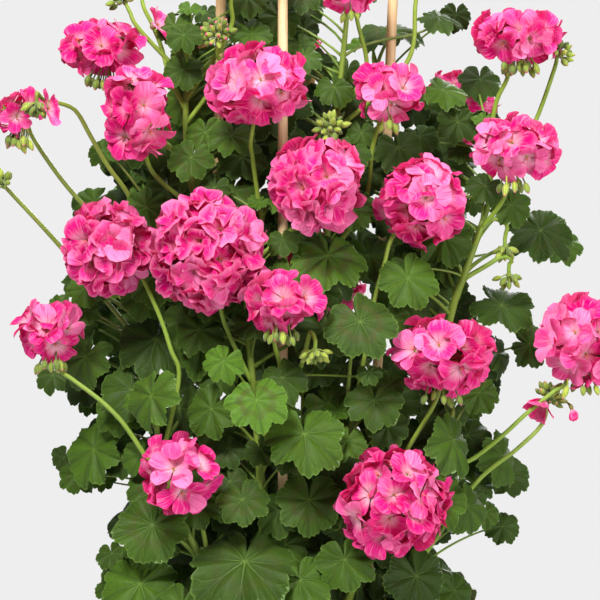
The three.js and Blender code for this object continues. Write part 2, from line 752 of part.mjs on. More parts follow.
function ringPlaces(path, straight = 0) {
  const last = path.points.length - 1;
  const places = [0];
  for (let i = 1 + straight; i <= last; i++) {
    if (path.points[i].distanceTo(path.points[i - 1]) > LONG_STEP) places.push((i - 0.5) / last);
    places.push(i / last);
  }
  return places;
}

// A tube that tapers along a curve, with flat ends. A root is one more ring, straight below the first

function tube(path, places, sides, startRadius, endRadius, root) {
  const normal = vector(TUBE_START);
  const points = [];
  const triangles = [];
  places.forEach((at, i) => {
    const middle = path.getPoint(at);
    const tangent = path.getTangent(at);
    const radius = lerp(startRadius, endRadius, i / (places.length - 1));
    normal.addScaledVector(tangent, -normal.dot(tangent)).normalize();
    const other = new THREE.Vector3().crossVectors(tangent, normal);
    for (let j = 0; j < sides; j++) {
      const angle = (2 * Math.PI * j) / sides;
      points.push(
        middle
          .clone()
          .addScaledVector(normal, radius * Math.cos(angle))
          .addScaledVector(other, radius * Math.sin(angle)),
      );
    }
  });
  if (root) points.unshift(...points.slice(0, sides).map((point) => point.clone().setZ(root)));
  const steps = points.length / sides - 1;
  for (let i = 0; i < steps; i++)
    for (let j = 0; j < sides; j++) {
      const a = i * sides + j;
      const b = i * sides + ((j + 1) % sides);
      triangles.push(a, b, a + sides, b, b + sides, a + sides);
    }
  const last = steps * sides;
  for (let j = 1; j < sides - 1; j++) triangles.push(0, j + 1, j, last, last + j, last + j + 1);
  return solid(closedGeometry(points, triangles));
}

function rod(start, end, sides, radius) {
  return tube(new THREE.LineCurve3(start, end), [0, 1], sides, radius, radius);
}

// A leaf blade: a fan of pleats from the hub to the scalloped edge, alike on both faces

function leafRim(radius) {
  const half = (LOBE_COUNT - 1) / 2;
  const rim = [[-SINUS_EDGE_ANGLE, SINUS_EDGE_REACH]];
  for (let lobe = -half; lobe <= half; lobe++) {
    const middle = lobe * LOBE_ANGLE;
    const reach = LOBE_REACH[Math.abs(lobe)];
    const quarter = LOBE_ANGLE / 4;
    if (radius > LARGE_LEAF_RADIUS) rim.push([middle - quarter, reach], [middle + quarter, reach]);
    else rim.push([middle, reach]);
    if (lobe < half && radius > SMALL_LEAF_RADIUS) {
      const notch = NOTCH_REACH[Math.floor(Math.abs(lobe + 0.5))];
      rim.push([middle + LOBE_ANGLE / 2, notch]);
    }
  }
  rim.push([SINUS_EDGE_ANGLE, SINUS_EDGE_REACH], [Math.PI, SINUS_REACH]);
  return rim;
}

function leafPoint(leaf, angle, reach) {
  const along = reach * Math.cos(angle);
  const droop = leaf.droop * Math.max(0, along) ** 2;
  const pleat = -LEAF_PLEAT * reach * Math.cos((2 * Math.PI * angle) / LOBE_ANGLE);
  const height = leaf.radius * (leaf.cup * reach * reach - droop + pleat);
  return leaf.hub
    .clone()
    .addScaledVector(leaf.tip, leaf.radius * along)
    .addScaledVector(leaf.side, leaf.radius * reach * Math.sin(angle))
    .addScaledVector(leaf.normal, height);
}

// The stalk's ring of three corners, round a point of its path

function stalkRing(leaf, middle, tangent, radius) {
  const side = leaf.side.clone().addScaledVector(tangent, -tangent.dot(leaf.side)).normalize();
  const along = new THREE.Vector3().crossVectors(side, tangent);
  return [-NECK_ANGLE, 0, NECK_ANGLE].map((angle) =>
    middle
      .clone()
      .addScaledVector(along, radius * Math.cos(angle))
      .addScaledVector(side, radius * Math.sin(angle)),
  );
}

function leafWithStalk(leaf) {
  const rim = leafRim(leaf.radius);
  const count = rim.length;
  const top = [leaf.hub.clone(), ...rim.map(([angle, reach]) => leafPoint(leaf, angle, reach))];
  const under = top.slice(1).map((point) => point.clone().addScaledVector(leaf.normal, -BLADE));
  const points = [...top, ...under];
  const triangles = [];
  const neckStart = points.length;
  const corner = (i) => neckStart + Math.floor(((rim[i - 1][0] + Math.PI) / NECK_ANGLE) % 3);
  for (let i = 1; i <= count; i++) {
    const next = (i % count) + 1;
    triangles.push(0, i, next);
    triangles.push(i, i + count, next, next, i + count, next + count);
    triangles.push(corner(i), next + count, i + count);
    if (corner(i) !== corner(next)) triangles.push(corner(i), corner(next), next + count);
  }
  for (let i = 0; i <= LEAF_STALK_STEPS; i++) {
    const at = 1 - i / LEAF_STALK_STEPS;
    const tangent = i ? leaf.path.getTangent(at) : leaf.normal;
    const radius = lerp(LEAF_STALK_FLARE, 1, at) * LEAF_STALK_RADIUS;
    points.push(...stalkRing(leaf, leaf.path.getPoint(at), tangent, radius));
  }
  for (let i = 0; i < LEAF_STALK_STEPS; i++)
    for (let j = 0; j < 3; j++) {
      const here = neckStart + 3 * i + j;
      const next = neckStart + 3 * i + ((j + 1) % 3);
      triangles.push(here, here + 3, next, next, here + 3, next + 3);
    }
  const foot = neckStart + 3 * LEAF_STALK_STEPS;
  triangles.push(foot, foot + 2, foot + 1);
  return solid(closedGeometry(points, triangles));
}

// Directions round an axis, between two angles from it, in an even spiral

function spiral(axis, count, [nearest, farthest]) {
  const { side, other } = crossPlane(axis);
  const golden = Math.PI * (3 - Math.sqrt(5));
  const directions = [];
  for (let i = 0; i < count; i++) {
    const cos = lerp(Math.cos(nearest), Math.cos(farthest), (i + 0.5) / count);
    const sin = Math.sqrt(1 - cos * cos);
    directions.push(
      axis
        .clone()
        .multiplyScalar(cos)
        .addScaledVector(side, sin * Math.cos(i * golden))
        .addScaledVector(other, sin * Math.sin(i * golden)),
    );
  }
  return directions;
}

// Three corners in the plane across a direction, and the faces of the hull of many such necks that
// leaves each neck open

function crossPlane(direction) {
  const side = new THREE.Vector3(direction.z + 0.2, direction.x, -direction.y).cross(direction).normalize();
  return { side, other: new THREE.Vector3().crossVectors(direction, side) };
}

function neckRing(middle, direction, radius, spin) {
  const { side, other } = crossPlane(direction);
  return [0, 1, 2].map((i) =>
    middle
      .clone()
      .addScaledVector(side, radius * Math.cos(spin + i * NECK_ANGLE))
      .addScaledVector(other, radius * Math.sin(spin + i * NECK_ANGLE)),
  );
}

function baseRing(middle, axis, radius) {
  const { side, other } = crossPlane(axis);
  return [0, 1, 2, 3].map((i) =>
    middle
      .clone()
      .addScaledVector(side, radius * Math.cos((i * Math.PI) / 2))
      .addScaledVector(other, radius * Math.sin((i * Math.PI) / 2)),
  );
}

function coreFaces(points, neckCount) {
  const indexOf = new Map(points.map((point, i) => [point, i]));
  const triangles = [];
  for (const face of new ConvexHull().setFromPoints(points).faces) {
    const corners = [0, 1, 2].map((i) => indexOf.get(face.getEdge(i).head().point));
    const inNeck = corners.every((i) => i < neckCount && Math.floor(i / 3) === Math.floor(corners[0] / 3));
    if (!inNeck) triangles.push(...corners);
  }
  return triangles;
}

// A cluster of pointed buds that spring from one small knob

function budCluster(root, axis, count, spread) {
  const directions = spiral(axis, count, spread);
  const at = (direction, along) => root.clone().addScaledVector(direction, along);
  const neckOf = (direction) => neckRing(at(direction, BUD_KNOB), direction, BUD_NECK, 0);
  const points = directions.flatMap(neckOf);
  const neckCount = points.length;
  points.push(...baseRing(root, axis, BUD_KNOB));
  points.push(at(axis, -BUD_KNOB));
  const triangles = coreFaces(points, neckCount);
  directions.forEach((direction, k) => {
    const belly = points.length;
    points.push(...neckRing(at(direction, BUD_BELLY * BUD_LENGTH), direction, BUD_RADIUS, 0));
    points.push(at(direction, BUD_LENGTH));
    for (let i = 0; i < 3; i++) {
      const next = (i + 1) % 3;
      triangles.push(3 * k + i, 3 * k + next, belly + i, 3 * k + next, belly + next, belly + i);
      triangles.push(belly + i, belly + next, belly + 3);
    }
  });
  return solid(closedGeometry(points, triangles));
}

// Directions spread evenly over a head, away from its stalk

function spreadDirections(axis, count) {
  const directions = spiral(axis, count, SPREAD_START);
  const base = axis.clone().negate();
  for (let round = 0; round < SPREAD_ROUNDS; round++)
    for (const one of directions) {
      const push = one.clone().sub(base).multiplyScalar(BASE_WEIGHT / one.distanceTo(base) ** 3);
      for (const other of directions)
        if (other !== one) push.addScaledVector(one.clone().sub(other), 1 / one.distanceTo(other) ** 3);
      one.addScaledVector(push, SPREAD_STEP).normalize();
    }
  return directions;
}

function smallestAngle(directions) {
  let least = Math.PI / 2;
  for (const one of directions)
    for (const other of directions) if (other !== one) least = Math.min(least, one.angleTo(other));
  return least;
}

// A floret's corners: its throat, the rim of five broad petals round it, and the neck that holds it

function floretPoints(head, direction, petalRadius, spin) {
  const stretch = new THREE.Vector3(head.wide, head.wide, head.tall);
  const outward = direction.clone().multiply(stretch);
  const place = (share) => head.middle.clone().addScaledVector(outward, share);
  const face = direction.clone().divide(stretch).normalize();
  const { side, other } = crossPlane(face);
  const around = (centre, angle, reach, height) =>
    centre
      .clone()
      .addScaledVector(side, reach * Math.cos(angle))
      .addScaledVector(other, reach * Math.sin(angle))
      .addScaledVector(face, height);
  const middle = place(FLORET_SHARE);
  const rim = [];
  const petalAngle = (2 * Math.PI) / PETALS;
  for (let petal = 0; petal < PETALS; petal++) {
    const angle = spin + petal * petalAngle;
    const notch = angle + petalAngle / 2;
    const lift = PETAL_LIFTS[petal % 2];
    rim.push(around(middle, angle - PETAL_SHOULDER, petalRadius, lift * petalRadius));
    rim.push(around(middle, angle + PETAL_SHOULDER, petalRadius, (lift + PETAL_TILT) * petalRadius));
    rim.push(around(middle, notch, PETAL_NOTCH_REACH * petalRadius, -PETAL_NOTCH_DROP * petalRadius));
  }
  const neck = neckRing(place(NECK_SHARE), face, NECK_RADIUS, spin + NECK_TURN);
  return { throat: around(middle, 0, 0, -THROAT_DEPTH * petalRadius), rim, neck };
}

// The core is the hull of the florets' necks, with each neck open into its floret

function headGeometry(head) {
  const directions = spreadDirections(head.axis, head.florets);
  const mean = Math.sqrt(head.wide * Math.min(head.wide, head.tall));
  const petalRadius = FLORET_FIT * FLORET_SHARE * mean * Math.tan(smallestAngle(directions) / 2);
  const floretOf = (direction, i) => floretPoints(head, direction, petalRadius, i * FLORET_TURN);
  const florets = directions.map(floretOf);
  const points = florets.flatMap((one) => one.neck);
  const neckCount = points.length;
  const base = head.middle.clone().addScaledVector(head.axis, -HEAD_BASE_DEPTH * head.tall);
  points.push(...baseRing(base, head.axis, HEAD_BASE_SHARE * head.wide));
  const triangles = coreFaces(points, neckCount);
  florets.forEach(({ throat, rim }, k) => {
    const neck = 3 * k;
    const middle = points.length;
    const rimStart = middle + 1;
    points.push(throat, ...rim);
    for (let i = 0; i < rim.length; i++) {
      const here = rimStart + i;
      const next = rimStart + ((i + 1) % rim.length);
      const corner = Math.floor(i / PETALS);
      triangles.push(middle, here, next, neck + corner, next, here);
      if (i % PETALS === PETALS - 1) triangles.push(neck + corner, neck + ((corner + 1) % 3), next);
    }
  });
  return closedGeometry(points, triangles);
}

function headSolid(head) {
  const deep = head.start.clone().addScaledVector(head.axis, GAP);
  const hole = rod(deep, head.leave, HEAD_HOLE_SIDES, HEAD_HOLE_RADIUS);
  return largestBody(solid(headGeometry(head)).subtract(hole));
}

function flowerStalk(path, straight) {
  const footRadius = FLOWER_STALK_FLARE * FLOWER_STALK_RADIUS;
  return tube(path, ringPlaces(path, straight), 3, FLOWER_STALK_RADIUS, footRadius);
}

function stemSolid(stem, plant) {
  const places = ringPlaces(stem.path);
  const root = SOIL_LEVEL - ROOT_DEPTH;
  const pieces = [tube(stem.path, places, STEM_SIDES, STEM_BASE_RADIUS, STEM_TIP_RADIUS, root)];
  for (const head of plant.heads.filter((one) => one.stem === stem.name)) {
    pieces.push(flowerStalk(head.path, 1));
    if (head.buds) pieces.push(budCluster(head.approach, head.axis, head.buds, HANGING_BUD_SPREAD));
  }
  for (const cluster of plant.clusters.filter((one) => one.stem === stem.name)) {
    pieces.push(flowerStalk(cluster.path, 0));
    pieces.push(budCluster(cluster.middle, cluster.axis, cluster.buds, CLUSTER_SPREAD));
  }
  for (const leaf of plant.leaves.filter((one) => one.stem === stem.name)) pieces.push(leafWithStalk(leaf));
  return largestBody(join(pieces));
}

// A profile of radius and height pairs, turned round the Z axis

function turned(profile, sides) {
  const points = profile.map(([radius, height]) => new THREE.Vector2(radius, height));
  return new THREE.LatheGeometry(points, sides).rotateX(Math.PI / 2);
}

function wallRadius(height, inset) {
  const shoulder = POT_HEIGHT - POT_RIM_HEIGHT;
  const top = POT_RIM_RADIUS - POT_RIM_OVERHANG;
  return lerp(POT_FOOT_RADIUS, top, height / shoulder) - inset;
}

function potSolid() {
  const shoulder = POT_HEIGHT - POT_RIM_HEIGHT;
  const profile = [
    [0, 0],
    [POT_FOOT_RADIUS, 0],
    [wallRadius(shoulder, 0), shoulder],
    [POT_RIM_RADIUS, shoulder + POT_CHAMFER],
    [POT_RIM_RADIUS, POT_HEIGHT - POT_CHAMFER],
    [POT_RIM_RADIUS - POT_CHAMFER, POT_HEIGHT],
    [POT_RIM_RADIUS - POT_WALL, POT_HEIGHT],
    [wallRadius(shoulder, POT_WALL), shoulder],
    [wallRadius(POT_FLOOR, POT_WALL), POT_FLOOR],
    [0, POT_FLOOR],
  ];
  let made = solid(turned(profile, POT_SIDES));
  for (let i = 0; i < DRAIN_COUNT; i++) {
    const angle = (2 * Math.PI * (i + 0.5)) / DRAIN_COUNT;
    const drain = new THREE.CylinderGeometry(DRAIN_RADIUS, DRAIN_RADIUS, 3 * POT_FLOOR, DRAIN_SIDES)
      .rotateX(Math.PI / 2)
      .translate(DRAIN_CIRCLE * Math.cos(angle), DRAIN_CIRCLE * Math.sin(angle), 0);
    made = made.subtract(solid(drain));
  }
  return made;
}

function soilSolid(plant) {
  const bottom = POT_FLOOR + GAP;
  const shoulder = POT_HEIGHT - POT_RIM_HEIGHT;
  const inset = POT_WALL + GAP;
  const profile = [
    [0, bottom],
    [wallRadius(bottom, inset), bottom],
    [wallRadius(shoulder, inset), shoulder],
    [wallRadius(shoulder, inset), SOIL_LEVEL - SOIL_CROWN],
    [SOIL_CROWN_RADIUS, SOIL_LEVEL],
    [0, SOIL_LEVEL],
  ];
  let made = solid(turned(profile, POT_SIDES));
  for (const stem of plant.stems.values()) {
    const base = stem.path.getPoint(0);
    const foot = base.clone().setZ(SOIL_LEVEL - ROOT_DEPTH - GAP);
    const head = base.clone().setZ(SOIL_LEVEL + ROOT_HOLE_RISE);
    made = made.subtract(rod(foot, head, ROOT_HOLE_SIDES, STEM_BASE_RADIUS + STEM_HOLE_ROOM));
  }
  for (const cane of CANES) {
    const foot = vector(cane.foot);
    const along = vector(cane.top).sub(foot).normalize();
    const deep = foot.clone().addScaledVector(along, -GAP);
    const high = foot.clone().addScaledVector(along, POT_HEIGHT);
    made = made.subtract(rod(deep, high, ROOT_HOLE_SIDES, CANE_HOLE_SHARE * CANE_RADIUS));
  }
  return made;
}

// A bamboo cane: a straight rod with a raised knot at even steps, over the soil only

function caneMesh(cane) {
  const foot = vector(cane.foot);
  const top = vector(cane.top);
  const length = foot.distanceTo(top);
  const profile = [[0, 0], [CANE_RADIUS, 0]];
  for (let at = CANE_KNOT_SPACING; at < length - CANE_PLAIN_TOP; at += CANE_KNOT_SPACING) {
    profile.push([CANE_RADIUS, at - CANE_KNOT_RISE]);
    profile.push([CANE_KNOT_RADIUS, at]);
    profile.push([CANE_RADIUS, at + CANE_KNOT_FALL]);
  }
  profile.push([CANE_RADIUS, length], [0, length]);
  const mesh = meshOf(cane.name, solid(turned(profile, CANE_SIDES)), BAMBOO);
  mesh.position.copy(foot);
  mesh.quaternion.setFromUnitVectors(new THREE.Vector3(0, 0, 1), top.clone().sub(foot).normalize());
  return mesh;
}

// The whole object

const plant = layPlant();

const holder = new THREE.Group();
holder.add(meshOf("pot", potSolid(), TERRACOTTA), meshOf("soil", soilSolid(plant), SOIL));

const canes = new THREE.Group();
for (const cane of CANES) canes.add(caneMesh(cane));

const greenery = new THREE.Group();
for (const stem of plant.stems.values())
  greenery.add(meshOf(stem.name, stemSolid(stem, plant), LEAF_GREEN));

const blooms = new THREE.Group();
for (const head of plant.heads) blooms.add(meshOf(head.name, headSolid(head), PETAL_PINK));

const geranium = new THREE.Group();
geranium.add(holder, canes, greenery, blooms);

export default geranium;
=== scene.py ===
import math

import bpy
import numpy as np
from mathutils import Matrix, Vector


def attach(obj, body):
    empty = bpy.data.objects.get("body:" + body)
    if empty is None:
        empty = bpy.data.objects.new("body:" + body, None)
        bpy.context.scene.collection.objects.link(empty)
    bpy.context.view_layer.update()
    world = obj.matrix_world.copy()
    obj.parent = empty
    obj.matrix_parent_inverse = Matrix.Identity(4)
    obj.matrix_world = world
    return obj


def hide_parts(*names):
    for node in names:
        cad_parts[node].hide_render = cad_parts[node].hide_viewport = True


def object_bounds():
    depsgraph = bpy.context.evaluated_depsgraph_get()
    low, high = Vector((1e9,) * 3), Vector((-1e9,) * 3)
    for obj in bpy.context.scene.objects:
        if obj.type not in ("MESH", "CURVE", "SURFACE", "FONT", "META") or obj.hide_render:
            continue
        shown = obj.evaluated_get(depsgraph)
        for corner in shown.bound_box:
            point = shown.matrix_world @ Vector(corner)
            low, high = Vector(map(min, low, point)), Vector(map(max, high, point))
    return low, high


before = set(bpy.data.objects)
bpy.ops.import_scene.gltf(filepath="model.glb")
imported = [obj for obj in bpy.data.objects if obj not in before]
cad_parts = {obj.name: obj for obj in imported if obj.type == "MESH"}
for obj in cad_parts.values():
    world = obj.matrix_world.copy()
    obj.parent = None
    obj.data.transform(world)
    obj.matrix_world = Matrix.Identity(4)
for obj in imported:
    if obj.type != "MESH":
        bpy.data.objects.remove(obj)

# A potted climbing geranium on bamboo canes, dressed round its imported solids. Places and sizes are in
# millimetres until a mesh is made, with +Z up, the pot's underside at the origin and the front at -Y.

MM = 0.001
cad_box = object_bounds()

# The view that places are measured in: "across" and "up" in millimetres at the plant's axis

VIEW_DISTANCE = 5200
VIEW_RISE = math.radians(3)
VIEW_AIM = 550
VIEW_WIDTH = 600

BUSH_HALF_WIDTH = 200
BUSH_CROWN_HALF_WIDTH = 100
BUSH_SHOULDER = 450
BUSH_CROWN = 830
BUSH_DEPTH_SHARE = 0.75
BUSH_EDGE = 20
LAYER = 28
HEAD_PROUD = 30

# Pot, soil and canes

POT_HEIGHT = 240
POT_RIM_RADIUS = 140
POT_RIM_HEIGHT = 38
POT_RIM_OVERHANG = 7
POT_FOOT_RADIUS = 98
POT_WALL = 8
POT_FLOOR = 10
POT_SIDES = 96
DRAIN_RADIUS = 7
DRAIN_CIRCLE = 55
DRAIN_COUNT = 4
SOIL_LEVEL = 212
SOIL_CROWN = 5
ROOT_DEPTH = 34

CANE_RADIUS = 5
CANE_KNOT_RADIUS = 6
CANE_KNOT_SPACING = 290
CANE_PLAIN_TOP = 40
CANE_SIDES = 20
CANES = {
    "cane_left": ((-93, 4, 120), (-76, 2, 1004)),
    "cane_front": ((-17, -86, 110), (-17, -58, 990)),
    "cane_right": ((62, -6, 100), (99, -4, 1010)),
    "cane_back": ((11, 88, 110), (10, 60, 998)),
}
CANE_TONES = {"cane_left": 0.55, "cane_front": 0.75, "cane_right": 0.6, "cane_back": 0.1}

# Stems, from the root up

STEM_BASE_RADIUS = 5
STEM_TIP_RADIUS = 2.6
FLOWER_STALK_RADIUS = 2
FLOWER_STALK_FLARE = 1.25
LEAF_STALK_RADIUS = 1.5
LEAF_STALK_FLARE = 1.25
STEMS = {
    "stem_left_low": ((-62, -60, 218), (-95, -82, 290), (-128, -88, 370), (-146, -76, 450)),
    "stem_left_middle": (
        (-72, 34, 218), (-118, 20, 330), (-146, 10, 450), (-160, 12, 560), (-152, 10, 650)),
    "stem_left_high": (
        (-42, 20, 218), (-56, -10, 400), (-84, -32, 560), (-112, -42, 700), (-108, -36, 830)),
    "stem_front_middle": (
        (-14, -50, 218), (-34, -84, 330), (-44, -92, 450), (-52, -82, 560), (-36, -84, 640)),
    "stem_front_low": ((34, -74, 218), (56, -90, 290), (58, -84, 360), (44, -86, 440)),
    "stem_centre_high": (
        (14, -10, 218), (26, -20, 400), (24, -34, 560), (34, -42, 700), (48, -34, 850)),
    "stem_right_low": ((88, -34, 218), (120, -62, 300), (142, -74, 380), (152, -66, 450)),
    "stem_right_high": (
        (74, 34, 218), (118, 2, 380), (148, -36, 530), (162, -44, 575), (178, -36, 620),
        (189, -22, 660), (186, -12, 720)),
    "stem_back_left": (
        (-40, 66, 218), (-84, 96, 350), (-98, 106, 500), (-88, 96, 650), (-66, 76, 780)),
    "stem_back_right": (
        (52, 72, 218), (94, 98, 350), (106, 108, 500), (92, 98, 650), (74, 76, 800)),
    "stem_back_middle": ((-4, 52, 218), (2, 112, 330), (4, 124, 450), (0, 122, 560)),
}
STEM_REDNESS = {"stem_left_middle": 0.5, "stem_right_low": 0.35, "stem_back_left": 0.4}

# Flower heads: middle and size as seen, stem, height of the joint, how ruffled the florets are, and what
# the stalk passes on its way to the joint. "under" says how thick the green buds hang below, "depth" where
# a head stands that keeps off the bush's face, and "fullness" how crowded its florets are

HEADS = {
    "head_upper_left": dict(seen=(-197, 802), size=(86, 59), stem="stem_left_high", joint=690,
        depth=-32, ruffle=0.34, under=9, via=((-190, 760), (-184, 742))),
    "head_left_loose": dict(seen=(-162, 737), size=(76, 97), stem="stem_left_high", joint=640,
        depth=-92, ruffle=0.25, under=0, via=((-150, 682),)),
    "head_far_left_high": dict(seen=(-281, 738), size=(58, 52), stem="stem_left_middle", joint=590,
        ruffle=0.1, under=10, via=((-264, 707), (-223, 652))),
    "head_upper_centre": dict(seen=(-41, 764), size=(101, 82), stem="stem_front_middle", joint=632,
        depth=-122, ruffle=0.34, under=0, via=((-49, 712), (-47, 689))),
    "head_upper_right": dict(seen=(88, 759), size=(71, 61), stem="stem_centre_high", joint=590,
        ruffle=0.3, under=3, via=((78, 722), (72, 700), (64, 646))),
    "head_centre": dict(seen=(18, 665), size=(92, 94), stem="stem_front_middle", joint=590,
        ruffle=0.75, under=0, via=()),
    "head_top_right": dict(seen=(218, 815), size=(93, 56), stem="stem_right_high", joint=700,
        ruffle=0.4, under=11, via=((208, 774), (196, 747))),
    "head_right_high": dict(seen=(213, 703), size=(89, 68), stem="stem_right_high", joint=620,
        depth=-84, ruffle=0.3, under=6, via=((205, 655),)),
    "head_right_middle": dict(seen=(122, 651), size=(92, 94), stem="stem_front_low", joint=420,
        ruffle=0.34, under=0, via=((92, 612), (84, 585), (75, 552), (66, 500))),
    "head_left_middle": dict(seen=(-191, 603), size=(90, 94), stem="stem_left_low", joint=400,
        depth=-84, ruffle=0.8, under=0,
        via=((-160, 575), (-150, 556), (-138, 528), (-129, 500), (-121, 471))),
    "head_largest": dict(seen=(-93, 598), size=(114, 113), stem="stem_front_middle", joint=470,
        ruffle=1, under=0, via=((-80, 545), (-72, 518))),
    "head_far_left_low": dict(seen=(-249, 520), size=(75, 61), stem="stem_left_low", joint=350,
        ruffle=0.15, under=8, via=((-240, 482), (-228, 471), (-209, 457), (-190, 441), (-169, 416))),
    "head_middle": dict(seen=(-18, 548), size=(79, 62), stem="stem_front_middle", joint=400,
        ruffle=0.3, under=7, via=((-25, 512), (-25, 503), (-20, 469))),
    "head_right_low": dict(seen=(142, 495), size=(105, 77), stem="stem_front_low", joint=330,
        ruffle=0.34, under=4, via=((138, 455), (107, 400))),
    "head_far_right": dict(seen=(281, 509), size=(90, 89), stem="stem_right_low", joint=320,
        ruffle=0.3, under=4,
        via=((266, 468), (253, 458), (226, 436), (202, 414), (171, 390), (147, 380))),
    "head_bottom_left": dict(seen=(-121, 376), size=(86, 81), stem="stem_left_low", joint=268,
        ruffle=0.12, under=0, fullness=0.7, via=()),
    "head_bottom_right": dict(seen=(95, 349), size=(116, 109), stem="stem_front_low", joint=262,
        ruffle=0.14, under=0, fullness=1.35, via=()),
    "head_crown_middle": dict(seen=(50, 872), size=(72, 66), stem="stem_centre_high", joint=740,
        ruffle=0.3, under=3, via=((58, 826), (66, 778))),
    "head_crown_left": dict(seen=(-68, 908), size=(84, 72), stem="stem_left_high", joint=750,
        ruffle=0.4, under=3, via=((-69, 850), (-71, 818))),
    "head_crown_right": dict(seen=(134, 922), size=(88, 74), stem="stem_centre_high", joint=720,
        depth=-62, ruffle=0.5, under=4, via=((116, 850), (106, 786))),
    "head_back_left": dict(seen=(-120, 655), size=(92, 84), stem="stem_back_left", joint=520,
        depth=140, ruffle=0.5, under=3, via=()),
    "head_back_middle": dict(seen=(20, 575), size=(96, 90), stem="stem_back_middle", joint=440,
        depth=182, ruffle=0.6, under=3, via=()),
    "head_back_high": dict(seen=(-20, 800), size=(88, 76), stem="stem_back_left", joint=700,
        depth=120, ruffle=0.4, under=4, via=()),
    "head_back_right": dict(seen=(158, 740), size=(90, 80), stem="stem_back_right", joint=600,
        depth=112, ruffle=0.3, under=3, via=()),
}
HEAD_LIFT = 0.5
FLAT_HEAD_LIFT = 1.6
HEAD_STALK_DEPTH = 0.3
HEAD_STALK_GAPS = (2, 12)
SIDE_TURN = 0.5

# Green bud clusters. A nodding one hangs from its stalk's arch

BUD_CLUSTERS = (
    dict(seen=(-175, 848), stem="stem_left_high", joint=770, buds=8, spread=1.3,
        via=((-170, 838), (-160, 820))),
    dict(seen=(-82, 812), stem="stem_left_high", joint=726, buds=15, pink=0.9, spread=1.7,
        via=((-83, 796), (-79, 776))),
    dict(seen=(-158, 895), stem="stem_left_high", joint=740, buds=8,
        via=((-158, 850), (-148, 826), (-139, 804), (-130, 773))),
    dict(seen=(-263, 747), stem="stem_left_middle", joint=610, buds=10, depth=-78, nods=True,
        via=((-256, 750), (-245, 748), (-225, 740), (-210, 715), (-193, 685), (-170, 652))),
    dict(seen=(-296, 664), stem="stem_left_middle", joint=500, buds=8, via=((-288, 656), (-234, 597))),
    dict(seen=(30, 720), stem="stem_centre_high", joint=680, buds=12, spread=1.3, via=((18, 714),)),
    dict(seen=(257, 794), stem="stem_right_high", joint=680, buds=9, spread=1.5, pink=0.4,
        via=((254, 780), (235, 728), (215, 700))),
    dict(seen=(15, 500), stem="stem_front_middle", joint=380, buds=10, nods=True,
        via=((10, 517), (3, 490), (-9, 460))),
    dict(seen=(205, 603), stem="stem_right_high", joint=600, buds=6, nods=True,
        via=((207, 625), (195, 631), (183, 624))),
    dict(seen=(209, 575), stem="stem_right_high", joint=572, buds=5, nods=True,
        via=((212, 590), (203, 594), (186, 584), (172, 576))),
    dict(seen=(248, 450), stem="stem_right_low", joint=290, buds=13, pink=0.4, spread=1.3,
        via=((242, 426), (217, 401), (174, 365))),
)
BUD_LENGTH = 14

# Single florets that stand out beside a head on a red stalk: the cluster that carries each, its middle as
# seen, the way it faces, its size and how far its petals open

SIDE_FLORETS = {
    "floret_upper_left": dict(seen=(-138, 828), cluster=2, root=(-150, 828), face=(0.8, -0.3, 0.5), size=17,
        opening=0.7),
    "floret_far_left": dict(seen=(-246, 743), cluster=3, root=(-263, 747), face=(0.9, -0.4, 0.2), size=17,
        opening=0.8),
    "floret_right_bell": dict(seen=(239, 442), cluster=10, root=(248, 450), face=(-0.5, -0.5, -0.7), size=24,
        opening=0.4),
    "floret_right_bud": dict(seen=(273, 436), cluster=10, root=(250, 450), face=(0.25, -0.1, -1), size=11,
        opening=0.05),
}
CLUSTER_LIFT = 1.2
CLUSTER_APPROACH = 10

# Leaves of the front: middle, width and height as seen, layer behind the bush's face, and the tip's
# direction in degrees from straight down. A negative height is a leaf seen from below

LEAVES = (
    (-43, 447, 67, 51, -1.2, 10), (-78, 486, 44, 38, -0.8, -30), (27, 590, 103, 69, 0, -5),
    (62, 527, 87, 73, 0.2, 25), (5, 412, 85, 65, -0.2, 5), (-70, 355, 80, 70, 0, -15),
    (-56, 283, 118, 82, 0, -5), (46, 286, 92, 80, 0, 10), (-150, 325, 79, 80, 0, -30),
    (-208, 396, 67, 79, 0, -35), (155, 406, 60, 87, 0, 30), (-91, 437, 57, 60, 0, -40),
    (-24, 501, 108, 77, 0.9, 0), (-70, 655, 76, 64, 0.2, -20), (245, 616, 77, 57, 0, 40),
    (205, 390, 50, 68, 0, 40), (-146, 505, 85, 65, 0.8, -10), (-155, 554, 60, 51, 0.5, -20),
    (85, 447, 90, 67, 0.9, 20), (9, 345, 71, 65, 0.6, 0), (169, 341, 52, 58, 0.2, 25),
    (118, 270, 70, 75, 0.4, 20), (-123, 435, 46, 70, 0.8, -20), (-217, 490, 64, 69, 0.4, -45),
    (144, 591, 64, 62, 0.8, 15), (205, 543, 73, 47, 0, 60), (235, 501, 50, 48, 0.2, 75),
    (199, 494, 34, 52, 1, 10), (-211, 645, 53, 41, 0, -50), (-14, 710, 47, 38, 0.8, 10),
    (-114, 745, 52, 50, 0, -20), (-112, 810, 40, 44, 0, -15), (95, 818, 70, 24, 1.2, 30),
    (145, 759, 54, 29, 0, 50), (181, 733, 58, -29, 0.4, 60), (-222, 566, 44, 32, 0.2, -55),
    (156, 255, 44, 52, 0, 25), (-179, 262, 62, 56, 0.2, -30), (-120, 240, 66, 58, -0.8, -15),
    (5, 228, 74, 60, -0.9, 0), (95, 222, 66, 56, -0.9, 15), (-60, 218, 62, 54, -0.8, -5),
)

# Tone and dark zone of the first two, which are the palest in the photo

PALE_LEAVES = ((0.78, 0.9), (0.76, 0))

# Rows of leaves round the back: height, how many and radius

BACK_ROWS = ((250, 4, 40), (350, 4, 42), (460, 4, 42), (570, 3, 40), (680, 3, 34), (790, 2, 28))

BACK_SEED = 20261
LEAF_SEED = 711
STEM_SEED = 300
HEAD_SEED = 900
FLORET_SEED = 1300
SOIL_SEED = 77

# How a leaf faces and stands, and how those of the back stray from their places

